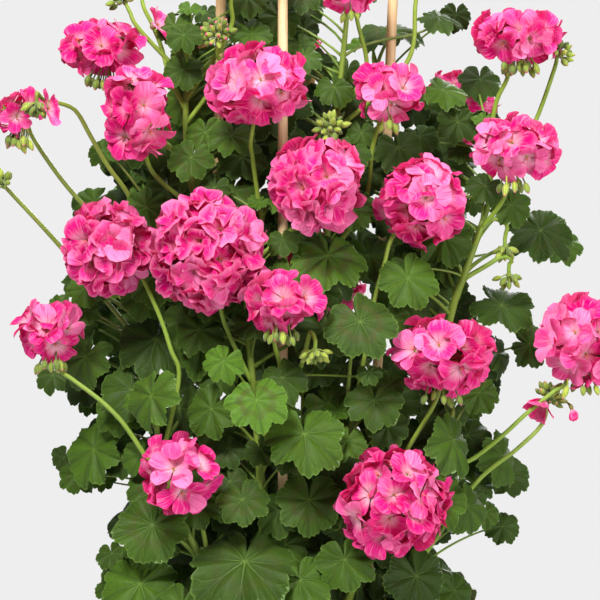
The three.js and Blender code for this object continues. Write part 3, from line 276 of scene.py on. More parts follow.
HUB_SHIFT = 0.12
LEAF_CUP = (0.02, 0.16)
LEAF_DROOP = (0.04, 0.2)
LEAN_SHARE = (0.25, 0.95)
TALL_LEAF_PITCH = 0.35
TURN_PER_MM = 0.0012
TIP_BACK = 0.15
BACK_START = 0.04
BACK_SWEEP = 0.92
BACK_STRAY = (0.25, 0.75)
BACK_INSET = (0.85, 1)
BACK_RISE = 44
BACK_FACE_UP = (0.4, 1)
BACK_SCALE = (0.85, 1.1)

# How a leaf's stalk leaves its stem and arrives at the hub, in shares of its length. One that hangs over
# the pot's rim is low

STALK_LEAVE = 0.35
STALK_RISE = 0.12
STALK_ARRIVE = 0.28
STALK_BACK = 0.12
LOW_STALK_RISE = 0.5
LOW_STALK_ARRIVE = 0.2

# Room between neighbours, and what is tried in turn for a leaf whose place is taken

CLEAR = 2.2
LEAF_HUB = 2.4
LEAF_SAG_ROOM = 12
BAND_BASE = 1.5
BAND_SHARE = 0.06
CENTRE_SHIFT = 0.06
CENTRE_LIFT = 0.5
DROOP_FALL = 0.3
DOT_RINGS = ((0, 1), (0.4, 6), (0.72, 10), (1, 18))
BALL_STEP = 7
CANE_BALL_STEP = 10
STEM_BALL_STEP = 8
STEM_BALL_RADIUS = 4
HEAD_BALL_INSET = 3
SHIFTS = (0, 9, -9, 18, -18, 27, -27, 38, -38, 50, -50, 64, 78)
SCALES = (1, 0.9, 0.8, 0.7)
DROPS = (40, 16, 70, 100)
NEAREST_STEMS = 3
LOWEST_JOINT = 12
TOP_JOINT = 4
STEM_RISE = 30
LOW_HUB = 260
HALVINGS = 24
ROUGH_STEPS = 40

DRAW_STEP = 1664525
DRAW_SHIFT = 1013904223
DRAW_RANGE = 2 ** 32

UP = np.array((0.0, 0.0, 1.0))


# Draws that are the same on each run, between 0 and 1 or two other ends

def make_draw(seed):
    state = seed

    def draw(low=0, high=1):
        nonlocal state
        state = (state * DRAW_STEP + DRAW_SHIFT) % DRAW_RANGE
        return lerp(low, high, state / DRAW_RANGE)

    return draw


def vector(*numbers):
    return np.array(numbers, float)


def unit(v):
    return v / np.linalg.norm(v)


def lerp(a, b, t):
    return a + (b - a) * t


def clamp(value, low, high):
    return max(low, min(high, value))


def cross(a, b):
    return np.array((a[1] * b[2] - a[2] * b[1], a[2] * b[0] - a[0] * b[2], a[0] * b[1] - a[1] * b[0]))


def distance(a, b):
    return float(np.linalg.norm(a - b))


def circle(count):
    return np.arange(count) * 2 * math.pi / count


def around(angle, side, other):
    return math.cos(angle) * side + math.sin(angle) * other


# The point at depth y that is seen "across" and "up" from the front

def from_view(across, up, y):
    cos, sin = math.cos(VIEW_RISE), math.sin(VIEW_RISE)
    rise = (up - VIEW_AIM) / VIEW_DISTANCE
    reach = (y + VIEW_DISTANCE * cos) / (cos + rise * sin)
    height = VIEW_AIM + VIEW_DISTANCE * sin + reach * (rise * cos - sin)
    return vector(reach * across / VIEW_DISTANCE, y, height)


def bush_half_width(up):
    share = clamp((up - BUSH_SHOULDER) / (BUSH_CROWN - BUSH_SHOULDER), 0, 1)
    return lerp(BUSH_HALF_WIDTH, BUSH_CROWN_HALF_WIDTH, share)


def bush_face(across, up):
    half = bush_half_width(up)
    return -BUSH_DEPTH_SHARE * math.sqrt(max(BUSH_EDGE ** 2, half * half - across * across))


# Paths

class SmoothPath:
    """A curve through points, as smooth as the stems grow."""

    def __init__(self, points):
        self.points = [np.array(point, float) for point in points]

    def at(self, t):
        points = self.points
        last = len(points) - 1
        place = last * t
        i = min(int(place), last - 1)
        w = place - i
        before = points[i - 1] if i > 0 else 2 * points[0] - points[1]
        after = points[i + 2] if i + 2 <= last else 2 * points[last] - points[last - 1]
        start, end = points[i], points[i + 1]
        leave, arrive = (end - before) / 2, (after - start) / 2
        square = -3 * start + 3 * end - 2 * leave - arrive
        cube = 2 * start - 2 * end + leave + arrive
        return start + w * (leave + w * (square + w * cube))

    def at_height(self, height):
        low, high = 0.0, 1.0
        for _ in range(HALVINGS):
            middle = (low + high) / 2
            if self.at(middle)[2] < height:
                low = middle
            else:
                high = middle
        return self.at((low + high) / 2)


class BentPath:
    """A curve from one end to another with two pulls between, as a leaf's stalk grows."""

    def __init__(self, *points):
        self.points = points

    def at(self, t):
        a, b, c, d = self.points
        u = 1 - t
        return u * u * u * a + 3 * u * u * t * b + 3 * u * t * t * c + t * t * t * d


class StraightPath:
    def __init__(self, start, end):
        self.start, self.end = np.array(start, float), np.array(end, float)

    def at(self, t):
        return lerp(self.start, self.end, t)


def samples(path, step):
    rough = np.array([path.at(i / ROUGH_STEPS) for i in range(ROUGH_STEPS + 1)])
    length = np.linalg.norm(np.diff(rough, axis=0), axis=1).sum()
    count = max(2, math.ceil(length / step))
    return np.array([path.at(i / count) for i in range(count + 1)])


def stalk_path(lead, via, end):
    steps = len(via) + 1
    y = lead[-1][1]
    between = [from_view(*seen, lerp(y, end[1], (i + 1) / steps)) for i, seen in enumerate(via)]
    return SmoothPath([*lead, *between, end])


# Flower heads and bud clusters in place

def outward_axis(middle, lift):
    flat = unit(vector(middle[0] * SIDE_TURN, middle[1], 0))
    return unit(vector(flat[0], flat[1], lift))


def lay_head(head):
    across, up = head["seen"]
    depth = head.get("depth", bush_face(across, up) - HEAD_PROUD)
    middle = from_view(across, up, depth)
    wide, tall = head["size"][0] / 2, head["size"][1] / 2
    axis = outward_axis(middle, HEAD_LIFT + FLAT_HEAD_LIFT * (1 - tall / max(wide, tall)))
    start = middle - HEAD_STALK_DEPTH * tall * axis
    lead = [start]
    if not head["via"]:
        lead.extend(middle - (tall + gap) * axis for gap in HEAD_STALK_GAPS)
    path = stalk_path(lead, head["via"], stem_paths[head["stem"]].at_height(head["joint"]))
    return dict(head, middle=middle, wide=wide, tall=tall, axis=axis, start=start, path=path)


def lay_cluster(cluster):
    across, up = cluster["seen"]
    middle = from_view(across, up, cluster.get("depth", bush_face(across, up) - HEAD_PROUD / 2))
    axis = -UP if cluster.get("nods") else outward_axis(middle, CLUSTER_LIFT)
    lead = [middle, middle - CLUSTER_APPROACH * axis] if cluster.get("nods") else [middle]
    path = stalk_path(lead, cluster["via"], stem_paths[cluster["stem"]].at_height(cluster["joint"]))
    return dict(cluster, middle=middle, axis=axis, path=path)


# Leaves in place. A leaf has a hub, a normal, a tip direction and a radius

class Leaf:
    def __init__(self, middle, normal, tip, radius, cup, droop, away, tone=0.5, zone=0.3, detail=2):
        self.first, self.full = middle, radius
        self.normal = normal
        self.tip = unit(tip - np.dot(tip, normal) * normal)
        self.side = cross(normal, self.tip)
        self.cup, self.droop, self.away = cup, droop, away
        self.tone, self.zone, self.detail = tone, zone, detail
        self.stem = self.path = None
        self.place(0, 1)

    def place(self, shift, scale):
        self.radius = self.full * scale
        self.hub = self.first + shift * self.away - HUB_SHIFT * self.radius * self.tip
        lift = (self.cup - DROOP_FALL * self.droop) * self.radius * CENTRE_LIFT
        self.centre = self.hub + CENTRE_SHIFT * self.radius * self.tip + lift * self.normal
        self.band = BAND_BASE + BAND_SHARE * self.radius

    def dots(self):
        found = []
        for share, count in DOT_RINGS:
            turn = circle(count)
            ring = np.outer(np.cos(turn), self.tip) + np.outer(np.sin(turn), self.side)
            found.append(share * self.radius * ring)
        return self.centre + np.concatenate(found)


def front_leaf(row, draw):
    across, up, width, height, layer, tip_degrees = row
    middle = from_view(across, up, bush_face(across, up) + layer * LAYER)
    tall = abs(height)
    lean = math.acos(clamp(min(width, tall) / max(width, tall), *LEAN_SHARE))
    pitch = lean if tall <= width else TALL_LEAF_PITCH
    yaw = across * TURN_PER_MM + (math.copysign(lean, across) if tall > width else 0)
    front = -1 if height < 0 else 1
    normal = vector(
        math.sin(yaw) * math.cos(pitch), -front * math.cos(yaw) * math.cos(pitch), math.sin(pitch))
    turn = math.radians(tip_degrees)
    tip = vector(math.sin(turn), -TIP_BACK * front, -front * math.cos(turn))
    cup, droop = draw(*LEAF_CUP), draw(*LEAF_DROOP)
    return Leaf(middle, normal, tip, max(width, tall) / 2, cup, droop, vector(0, 1, 0))


def back_leaf(up, count, radius, place, draw):
    angle = math.pi * (BACK_START + BACK_SWEEP * (place + draw(*BACK_STRAY)) / count)
    half = bush_half_width(up) * draw(*BACK_INSET)
    up += BACK_RISE * (draw() - 0.5)
    middle = vector(half * math.cos(angle), BUSH_DEPTH_SHARE * half * math.sin(angle), up)
    outward = vector(math.cos(angle), math.sin(angle), 0)
    normal = unit(outward + draw(*BACK_FACE_UP) * UP)
    radius *= draw(*BACK_SCALE)
    cup, droop = draw(*LEAF_CUP), draw(*LEAF_DROOP)
    away = -unit(vector(middle[0], middle[1], 0))
    return Leaf(middle, normal, outward - UP, radius, cup, droop, away)


def joint_for(leaf, stem, drop):
    points = STEMS[stem]
    height = clamp(leaf.hub[2] - drop, points[0][2] + LOWEST_JOINT, points[-1][2] - TOP_JOINT)
    return stem_paths[stem].at_height(height)


def leaf_stalk(leaf, stem, drop):
    joint = joint_for(leaf, stem, drop)
    end = leaf.hub - LEAF_HUB * leaf.normal
    length = distance(end, joint)
    if leaf.hub[2] < POT_HEIGHT + 2 * LEAF_SAG_ROOM:
        leave = lerp(joint, end, STALK_LEAVE) + LOW_STALK_RISE * length * UP
        arrive = end - LOW_STALK_ARRIVE * length * leaf.normal + STALK_BACK * length * UP
    else:
        leave = lerp(joint, end, STALK_LEAVE) + STALK_RISE * length * UP
        arrive = end - STALK_ARRIVE * length * leaf.normal - STALK_BACK * length * leaf.tip
    return BentPath(joint, leave, arrive, end)


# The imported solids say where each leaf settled: its hub is one of their corners, and its stalk's middle
# has three corners round it

HUB_TOLERANCE = 0.05
STALK_MIDDLE_RADIUS = LEAF_STALK_RADIUS * (1 + LEAF_STALK_FLARE) / 2


def corners_of(node):
    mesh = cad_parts[node].data
    corners = np.empty(3 * len(mesh.vertices), np.float32)
    mesh.vertices.foreach_get("co", corners)
    return corners.reshape(-1, 3).astype(float) / MM


def settle_as_packed(leaf, corners):
    for scale in SCALES:
        for shift in SHIFTS:
            leaf.place(shift, scale)
            for stem, points in corners.items():
                if np.abs(points - leaf.hub).sum(axis=1).min() < HUB_TOLERANCE:
                    leaf.stem = stem
                    leaf.path = packed_stalk(leaf, stem, points)
                    return True
    return False


def packed_stalk(leaf, stem, points):
    for drop in DROPS:
        path = leaf_stalk(leaf, stem, drop)
        reach = np.linalg.norm(points - path.at(0.5), axis=1)
        if (np.abs(reach - STALK_MIDDLE_RADIUS) < HUB_TOLERANCE).sum() >= 3:
            return path
    return leaf_stalk(leaf, stem, DROPS[0])


stem_paths = {name: SmoothPath(points) for name, points in STEMS.items()}


# What is taken: leaves are discs in thin bands, and stalks, canes and heads are rows of balls. Leaves that
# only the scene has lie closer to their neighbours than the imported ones

CLOSE = 0.5
CLOSE_BAND = 0.35

# Stretches of cane that the photo shows, which no leaf of the scene may hide: across, from one height to
# another, and how deep they stand

SHOWN_CANES = ((-80, 738, 860, 0), (-17, 800, 860, -60), (-17, 697, 712, -60), (91, 725, 860, -10))
CANE_COVER_WIDE = 0.95
CANE_COVER_TALL = 0.8

# Spots where the backdrop shows through the plant: across, up and radius

OPEN_SPOTS = (
    (33, 830, 12), (33, 800, 11), (190, 568, 15), (215, 548, 12), (193, 437, 9), (262, 542, 14),
    (202, 514, 12), (218, 488, 10), (74, 798, 9), (76, 838, 10), (162, 308, 12), (165, 280, 12),
    (160, 262, 10), (-180, 364, 7), (-226, 423, 7))
OPENING_COVER = 0.85


class Room:
    """What leaves and stalks keep clear of."""

    def __init__(self):
        self.leaves, self.balls = [], []
        self.discs = self.dots = self.rows = None

    def add_balls(self, points, radius, owner):
        self.balls.append((np.atleast_2d(points), radius, owner))
        self.rows = None

    def add_leaf(self, leaf):
        self.leaves.append(leaf)
        self.discs = None
        self.add_balls(samples(leaf.path, BALL_STEP), LEAF_STALK_RADIUS, leaf.stem)

    def refresh(self):
        if self.discs is None:
            self.discs = (
                np.array([leaf.centre for leaf in self.leaves]).reshape(-1, 3),
                np.array([leaf.normal for leaf in self.leaves]).reshape(-1, 3),
                np.array([leaf.radius for leaf in self.leaves]),
                np.array([CLOSE_BAND * leaf.band for leaf in self.leaves]),
            )
            self.dots = np.array([leaf.dots() for leaf in self.leaves]).reshape(-1, 3)
            self.dot_bands = np.repeat(self.discs[3], sum(count for _, count in DOT_RINGS))
        if self.rows is None:
            self.rows = np.concatenate([points for points, _, _ in self.balls])
            self.sizes = np.concatenate([np.full(len(points), radius) for points, radius, _ in self.balls])
            self.owners = np.concatenate([np.full(len(points), owner) for points, _, owner in self.balls])

    def leaf_fits(self, leaf):
        self.refresh()
        band = CLOSE_BAND * leaf.band
        if not are_clear_of_pot(leaf.dots(), leaf.band + CLEAR):
            return False
        own = disc_distance(self.rows, leaf.centre, leaf.normal, leaf.radius, band)
        if (own < self.sizes + CLOSE).any():
            return False
        centres, normals, radii, bands = self.discs
        reach = disc_distance(leaf.dots()[:, None], centres, normals, radii, bands)
        if (reach < band + CLOSE).any():
            return False
        own = disc_distance(self.dots, leaf.centre, leaf.normal, leaf.radius, band)
        return not (own < self.dot_bands + CLOSE).any()

    def stalk_fits(self, path, owner):
        self.refresh()
        centres, normals, radii, bands = self.discs
        others = self.owners != owner
        points = samples(path, BALL_STEP)
        if not are_clear_of_pot(points, LEAF_STALK_RADIUS + CLEAR):
            return False
        reach = disc_distance(points[:, None], centres, normals, radii, bands)
        if (reach < LEAF_STALK_RADIUS + CLOSE).any():
            return False
        reach = np.linalg.norm(self.rows[others] - points[:, None], axis=2)
        return not (reach < self.sizes[others] + LEAF_STALK_RADIUS + CLOSE).any()


def disc_distance(points, centre, normal, radius, band):
    offset = points - centre
    along = (offset * normal).sum(axis=-1)
    flat = np.sqrt(np.maximum(0, (offset * offset).sum(axis=-1) - along * along))
    outside = np.maximum(0, flat - radius)
    over = np.maximum(0, np.abs(along) - band)
    return np.sqrt(outside * outside + over * over)


def are_clear_of_pot(points, room):
    radius, height = np.hypot(points[:, 0], points[:, 1]), points[:, 2]
    outside = (height > POT_HEIGHT + room) | (radius > POT_RIM_RADIUS + room)
    inside = (radius < POT_RIM_RADIUS - POT_WALL - room) & (height > SOIL_LEVEL + room)
    return bool((outside | inside).all())


def hides_cane(leaf):
    x, y, z = leaf.centre
    tall = CANE_COVER_TALL * leaf.radius
    return any(y < depth and abs(x - across) < CANE_COVER_WIDE * leaf.radius + CANE_RADIUS
        and low < z + tall and z - tall < high for across, low, high, depth in SHOWN_CANES)


def closes_opening(leaf):
    return any(
        math.hypot(leaf.centre[0] - across, leaf.centre[2] - up) < OPENING_COVER * leaf.radius + radius
        for across, up, radius in OPEN_SPOTS)


def settle_free(leaf, room, scales, shifts):
    """Settles a leaf that only the scene has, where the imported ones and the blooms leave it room."""
    for scale in scales:
        for shift in shifts:
            leaf.place(shift, scale)
            if hides_cane(leaf) or closes_opening(leaf) or not room.leaf_fits(leaf):
                continue
            near = [stem for stem, points in STEMS.items()
                if points[0][2] + STEM_RISE < leaf.hub[2] or leaf.hub[2] < LOW_HUB]
            near.sort(key=lambda stem: distance(joint_for(leaf, stem, DROPS[0]), leaf.hub))
            for stem in near[:NEAREST_STEMS]:
                for drop in DROPS:
                    path = leaf_stalk(leaf, stem, drop)
                    if room.stalk_fits(path, stem):
                        leaf.stem, leaf.path = stem, path
                        return True
    return False


# The mesh of a piece as it grows. At each corner "form" holds the shape's own coordinates and "tint"
# what varies from one petal, leaf or stalk to the next, both for the materials

class Form:
    def __init__(self, *materials, bounded=True):
        self.materials, self.bounded = materials, bounded
        self.points, self.form, self.tint = [], [], []
        self.loops, self.sizes, self.slots = [], [], []
        self.count = 0

    def add(self, points, faces, form, tint, slot=0):
        points = np.asarray(points, float).reshape(-1, 3)
        self.points.append(points)
        self.form.append(np.broadcast_to(np.asarray(form, float), points.shape))
        self.tint.append(np.broadcast_to(np.asarray(tint, float), points.shape))
        for group in faces:
            group = np.asarray(group, int)
            if len(group):
                self.loops.append((group + self.count).ravel())
                self.sizes.append(np.full(len(group), group.shape[1]))
                self.slots.append(np.full(len(group), slot))
        self.count += len(points)

    def finish(self, name):
        mesh = bpy.data.meshes.new(name)
        points, loops = np.concatenate(self.points) * MM, np.concatenate(self.loops)
        if self.bounded:
            points = np.clip(points, *cad_box)
        sizes = np.concatenate(self.sizes)
        mesh.vertices.add(len(points))
        mesh.vertices.foreach_set("co", points.ravel())
        mesh.loops.add(len(loops))
        mesh.loops.foreach_set("vertex_index", loops.astype(np.int32))
        mesh.polygons.add(len(sizes))
        starts = np.concatenate(([0], np.cumsum(sizes)[:-1])).astype(np.int32)
        mesh.polygons.foreach_set("loop_start", starts)
        mesh.polygons.foreach_set("material_index", np.concatenate(self.slots).astype(np.int32))
        mesh.polygons.foreach_set("use_smooth", np.ones(len(sizes), bool))
        for label, rows in (("form", self.form), ("tint", self.tint)):
            attribute = mesh.attributes.new(label, "FLOAT_VECTOR", "POINT")
            attribute.data.foreach_set("vector", np.concatenate(rows).ravel())
        mesh.update(calc_edges=True)
        for material in self.materials:
            mesh.materials.append(material)
        piece = bpy.data.objects.new(name, mesh)
        bpy.context.scene.collection.objects.link(piece)
        return piece


def grid_faces(rows, columns, closed=False, flip=False):
    """Quads over rows of corners. Closed rows join their last corner to their first."""
    across = columns if closed else columns - 1
    i, j = np.meshgrid(np.arange(rows - 1), np.arange(across), indexing="ij")
    here = (i * columns + j).ravel()
    beside = (i * columns + (j + 1) % columns).ravel()
    faces = np.stack((here, beside, beside + columns, here + columns), axis=1)
    return faces[:, ::-1] if flip else faces


def fan_faces(hub, ring, flip=False):
    """Triangles from a hub to a closed ring of corners."""
    faces = np.stack((np.full(len(ring), hub), ring, np.roll(ring, -1)), axis=1)
    return faces[:, ::-1] if flip else faces


def capped_faces(rows, columns, flip=False):
    """Closed rows of corners, with the two corners after them as hubs of the first and the last row."""
    ring, hub = np.arange(columns), rows * columns
    fans = (fan_faces(hub, ring, not flip), fan_faces(hub + 1, hub - columns + ring, flip))
    return [grid_faces(rows, columns, closed=True, flip=flip), np.concatenate(fans)]


# A round tube along a row of middles, closed at both ends. Its corners start from a slanting direction
# that no tube runs along

TUBE_SIDE = (0.31, 0.87, 0.38)


def add_tube(form, middles, radii, sides, tint, slot=0):
    middles = np.asarray(middles, float)
    count = len(middles)
    radii = np.broadcast_to(np.asarray(radii, float), count)
    tangents = np.gradient(middles, axis=0)
    tangents /= np.linalg.norm(tangents, axis=1)[:, None]
    side = unit(cross(tangents[0], vector(*TUBE_SIDE)))
    turn = circle(sides)
    rings = []
    for middle, tangent, radius in zip(middles, tangents, radii):
        side = unit(side - np.dot(side, tangent) * tangent)
        other = cross(tangent, side)
        rings.append(middle + radius * (np.outer(np.cos(turn), side) + np.outer(np.sin(turn), other)))
    values = np.zeros((count * sides + 2, 3))
    values[:-2, 0] = np.repeat(np.linspace(0, 1, count), sides)
    values[-1, 0] = 1
    points = np.concatenate([*rings, middles[:1], middles[-1:]])
    form.add(points, capped_faces(count, sides), values, tint, slot)


# A leaf blade: seven lobes with scalloped teeth, pleated along its veins

LOBE_COUNT = 7
LOBE_ANGLE = math.radians(48)
LOBE_REACH = (1, 0.99, 0.95, 0.86)
LOBE_STRETCH = (0.95, 1.05)
NOTCH_REACH = (0.87, 0.85, 0.8)
NOTCH_CUT = 0.03
SINUS_EDGE_ANGLE = math.radians(170)
SINUS_EDGE_REACH = 0.66
SINUS_ANGLES = (math.radians(175), math.pi, math.radians(185))
SINUS_REACHES = (0.42, 0.14, 0.42)
MANY_TEETH = 5
MANY_TEETH_DEPTH = (0.045, 0.065)
MANY_TEETH_RADIUS = 27
FEW_TEETH = 3
FEW_TEETH_DEPTH = (0.06, 0.09)
TWIST = (-0.2, 0.2)
ROLL = (0.04, 0.13)
SIDE_DROOP = (0.02, 0.3)
LEAF_PLEAT = 0.085
PLEAT_RANGE = (0.7, 1.3)
BLADE_DROOP = 0.05
BLADE_DROOP_SHARE = 1.4
VEIN_CREASE = 0.02
TOOTH_WAVE = 0.022
RIM_WAVE = 0.04
RIM_FALL = 0.1
BLADE = 0.8

# For each level of detail, from the coarsest: steps in a lobe, the rings inside with half the spokes, the
# rings at the rim with all of them, and the stalk's step and sides

LEAF_DETAILS = (
    (8, (0.2, 0.6), (0.88, 1), 20, 4),
    (12, (0.14, 0.42, 0.68), (0.88, 1), 13, 5),
    (20, (0.1, 0.28, 0.48, 0.68), (0.86, 1), 8, 7),
)


def leaf_outline(angles, teeth, depth, draw):
    place = angles / LOBE_ANGLE
    lobe = np.clip(np.round(place), -(LOBE_COUNT // 2), LOBE_COUNT // 2)
    within = 2 * (place - lobe)
    number = np.abs(lobe).astype(int)
    top = np.array(LOBE_REACH)[number]
    outer = np.array((*NOTCH_REACH, SINUS_EDGE_REACH))[number]
    inner = np.array((NOTCH_REACH[0], *NOTCH_REACH))[number]
    notch = np.where(within * lobe >= 0, outer, inner)
    side_lobes = LOBE_COUNT // 2
    stretch = np.array([draw(*LOBE_STRETCH) for _ in range(LOBE_COUNT)])
    top = top * stretch[lobe.astype(int) + side_lobes]
    reach = top + (notch - NOTCH_CUT - top) * np.abs(within) ** 2.4
    uneven = within + 0.1 * np.sin(5 * place + 6 * draw())
    rounds = np.abs(np.cos(teeth * math.pi / 2 * uneven)) ** 0.7
    reach = reach * (1 + 0.02 * np.sin(3.7 * place + 6 * draw()) + 0.015 * np.sin(8.3 * place + 6 * draw()))
    return reach * (1 - depth * (1 - rounds) * (np.abs(within) < 0.99))


def blade_ring(leaf, bends, teeth, share, lobe, angle, reach):
    """One ring of the upper side, which is cupped, drooping, pleated and wavy towards its rim."""
    phase, twist, roll, side_droop, pleat = bends
    along, aside, fold = reach * np.cos(angle), reach * np.sin(angle), np.cos(2 * math.pi * lobe)
    droop = BLADE_DROOP + BLADE_DROOP_SHARE * leaf.droop
    height = leaf.cup * reach ** 2 - droop * np.maximum(0, along) ** 2 - side_droop * aside ** 2
    height -= reach * (pleat * fold + VEIN_CREASE * np.exp(-(1 - fold) * 9))
    height -= TOOTH_WAVE * share ** 2 * np.cos(teeth * 2 * math.pi * lobe) * (share > 0.5)
    height += roll * share ** 3 * np.sin(2.4 * lobe + phase) + twist * along * aside
    height = height + RIM_WAVE * share ** 5 * np.sin(7.1 * lobe + 2 * phase) - RIM_FALL * share ** 4
    return leaf.hub + leaf.radius * (
        np.outer(along, leaf.tip) + np.outer(aside, leaf.side) + np.outer(height, leaf.normal))


def seam_faces(start, few, spokes):
    """Triangles that join the last ring with few spokes to the first with twice as many."""
    coarse = start - few + np.arange(few)
    beside = np.roll(coarse, -1)
    first, second, third = (start + (2 * np.arange(few) + i) % spokes for i in range(3))
    corners = ((coarse, second, first), (coarse, beside, second), (beside, third, second))
    return np.concatenate([np.stack(three, axis=1) for three in corners])


def add_leaf(form, leaf, draw):
    steps, inner, outer, _, _ = LEAF_DETAILS[leaf.detail]
    many = leaf.radius > MANY_TEETH_RADIUS and leaf.detail == 2
    teeth, depth = (MANY_TEETH, draw(*MANY_TEETH_DEPTH)) if many else (FEW_TEETH, draw(*FEW_TEETH_DEPTH))
    angles = np.linspace(-SINUS_EDGE_ANGLE, SINUS_EDGE_ANGLE, LOBE_COUNT * steps + 1)
    outline = np.concatenate((leaf_outline(angles, teeth, depth, draw), SINUS_REACHES))
    angles = np.concatenate((angles, SINUS_ANGLES))
    lobes = np.clip(angles, -SINUS_EDGE_ANGLE, SINUS_EDGE_ANGLE) / LOBE_ANGLE
    bends = (6.3 * draw(), draw(*TWIST), draw(*ROLL), draw(*SIDE_DROOP), LEAF_PLEAT * draw(*PLEAT_RANGE))
    upper, under, marks = [], [], []
    for share in (*inner, *outer):
        pick = slice(None) if share in outer else slice(0, None, 2)
        lobe = lobes[pick]
        top = blade_ring(leaf, bends, teeth, share, lobe, angles[pick], share * outline[pick])
        upper.append(top)
        under.append(top - BLADE * (1 - share ** 4) * leaf.normal)
        marks.append(np.stack(np.broadcast_arrays(lobe, share, leaf.radius / 100), axis=1))
    few, spokes = len(angles[::2]), len(angles)
    start = len(inner) * few
    seam = seam_faces(start, few, spokes)
    values = np.concatenate((*marks, [vector(0, 0, leaf.radius / 100)]))
    for is_under, sheet in enumerate((upper, under)):
        hub = leaf.hub - is_under * BLADE * leaf.normal
        points = np.concatenate((*sheet, hub[None]))
        rim = start + grid_faces(len(outer), spokes, closed=True, flip=not is_under)
        middle = grid_faces(len(inner), few, closed=True, flip=not is_under)
        centre = fan_faces(len(points) - 1, np.arange(few), flip=bool(is_under))
        faces = [rim, middle, np.concatenate((centre, seam if is_under else seam[:, ::-1]))]
        form.add(points, faces, values, (leaf.tone, leaf.zone, is_under), slot=1)


LEAF_STALK_SWELL = 0.35
LEAF_STALK_SCALE = (0.65, 1.1)
LEAF_STALK_END = 1.3


def add_leaf_stalk(form, leaf, redness):
    _, _, _, step, sides = LEAF_DETAILS[leaf.detail]
    middles = samples(leaf.path, step)
    swell = 1 + LEAF_STALK_SWELL * np.exp(-np.linspace(0, len(middles), len(middles)))
    radii = np.linspace(LEAF_STALK_FLARE, 1, len(middles)) * swell * LEAF_STALK_RADIUS
    radii = np.append(radii * clamp(leaf.radius / 34, *LEAF_STALK_SCALE), LEAF_STALK_END)
    middles = np.concatenate((middles, leaf.hub[None] - 0.4 * leaf.normal))
    # The stalk's tone follows its leaf's, so on leaves deep in the bush it carries their painted shade of
    # depth
    add_tube(form, middles, radii, sides, (0.1 + 0.45 * leaf.tone, redness, 0))


# Buds: turned shapes on a bent stalk, pointed at the end, and the knob that a cluster's buds grow from

BUD_KNOB = 3.2
BUD_CROWD = 1.6
BUD_SPREAD = (0.1, 1.5)
BUD_BODY = np.array((
    (0, 0.8), (0.06, 1.9), (0.2, 2.7), (0.42, 3.1), (0.62, 2.8), (0.82, 1.8), (0.94, 0.9), (1, 0.2)))
BUD_BODY_LENGTH = (9, 12)
BUD_STALK_LENGTH = (4.5, 8.5)
HANGING_CROWD = 1.4
HANGING_REACH = 0.36
HANGING_RISE = 0.88
BALL_STEPS = 5
BALL_SIDES = 8


def across_plane(direction):
    side = unit(cross(vector(direction[2] + 0.2, direction[0], -direction[1]), direction))
    return side, cross(direction, side)


def spiral(axis, count, nearest, farthest):
    side, other = across_plane(axis)
    golden = math.pi * (3 - math.sqrt(5))
    found = []
    for i in range(count):
        cos = lerp(math.cos(nearest), math.cos(farthest), (i + 0.5) / count)
        sin = math.sqrt(1 - cos * cos)
        turn = i * golden
        found.append(cos * axis + sin * math.cos(turn) * side + sin * math.sin(turn) * other)
    return found


def add_bud(form, root, base, direction, size, tone, pink):
    """A pointed bud on a slender stalk that bends from its root into the bud's base."""
    elbow = lerp(root, base, 0.55) + 0.12 * distance(root, base) * UP
    body = base + np.outer(BUD_BODY[:, 0] * size * lerp(*BUD_BODY_LENGTH, tone), direction)
    middles = np.concatenate(([root, elbow], body))
    radii = np.concatenate(((0.8, 0.75), BUD_BODY[:, 1] * size))
    add_tube(form, middles, radii, 8, (tone, pink, 1), slot=2)


def add_buds(form, cluster, draw):
    root, spread = cluster["middle"], cluster.get("spread", 1)
    add_ball(form, root, BUD_KNOB, (0.4, 0, 0), slot=2)
    for out in spiral(cluster["axis"], round(BUD_CROWD * cluster["buds"]), *BUD_SPREAD):
        base = root + spread * draw(*BUD_STALK_LENGTH) * out
        direction = unit(out - draw(0, 0.3) * UP)
        size, tone, pink = draw(0.8, 1.1), draw(), cluster.get("pink", 0.1) * draw()
        add_bud(form, root, base, direction, size, tone, pink)


def add_hanging_buds(form, head, draw):
    """Green buds that hang from the hub of a head, out below its petals."""
    count = round(HANGING_CROWD * head["under"])
    for i in range(count):
        turn, reach = 2.4 * i, HANGING_REACH * head["wide"] * math.sqrt((i + 0.5) / count)
        rise = -HANGING_RISE * head["tall"] - 7 * draw()
        base = head["middle"] + vector(
            reach * math.cos(turn), reach * math.sin(turn) - 0.2 * head["wide"], rise)
        direction = unit(vector(0.4 * math.cos(turn), 0.4 * math.sin(turn), -1))
        add_bud(form, head["start"], base, direction, draw(0.9, 1.15), draw(), 0.7 * draw())


def add_ball(form, middle, radius, tint, slot):
    turn, rings = circle(BALL_SIDES), []
    for i in range(1, BALL_STEPS):
        angle = math.pi * i / BALL_STEPS
        rise = np.full(BALL_SIDES, math.cos(angle) / math.sin(angle))
        ring = np.stack((np.cos(turn), np.sin(turn), rise), axis=1)
        rings.append(middle + radius * math.sin(angle) * ring)
    points = np.concatenate([*rings, [middle + radius * UP, middle - radius * UP]])
    form.add(points, capped_faces(len(rings), BALL_SIDES, flip=True), (0, 0, 0), tint, slot)


# A floret: five broad petals round a pale throat, sometimes with a few short ones inside

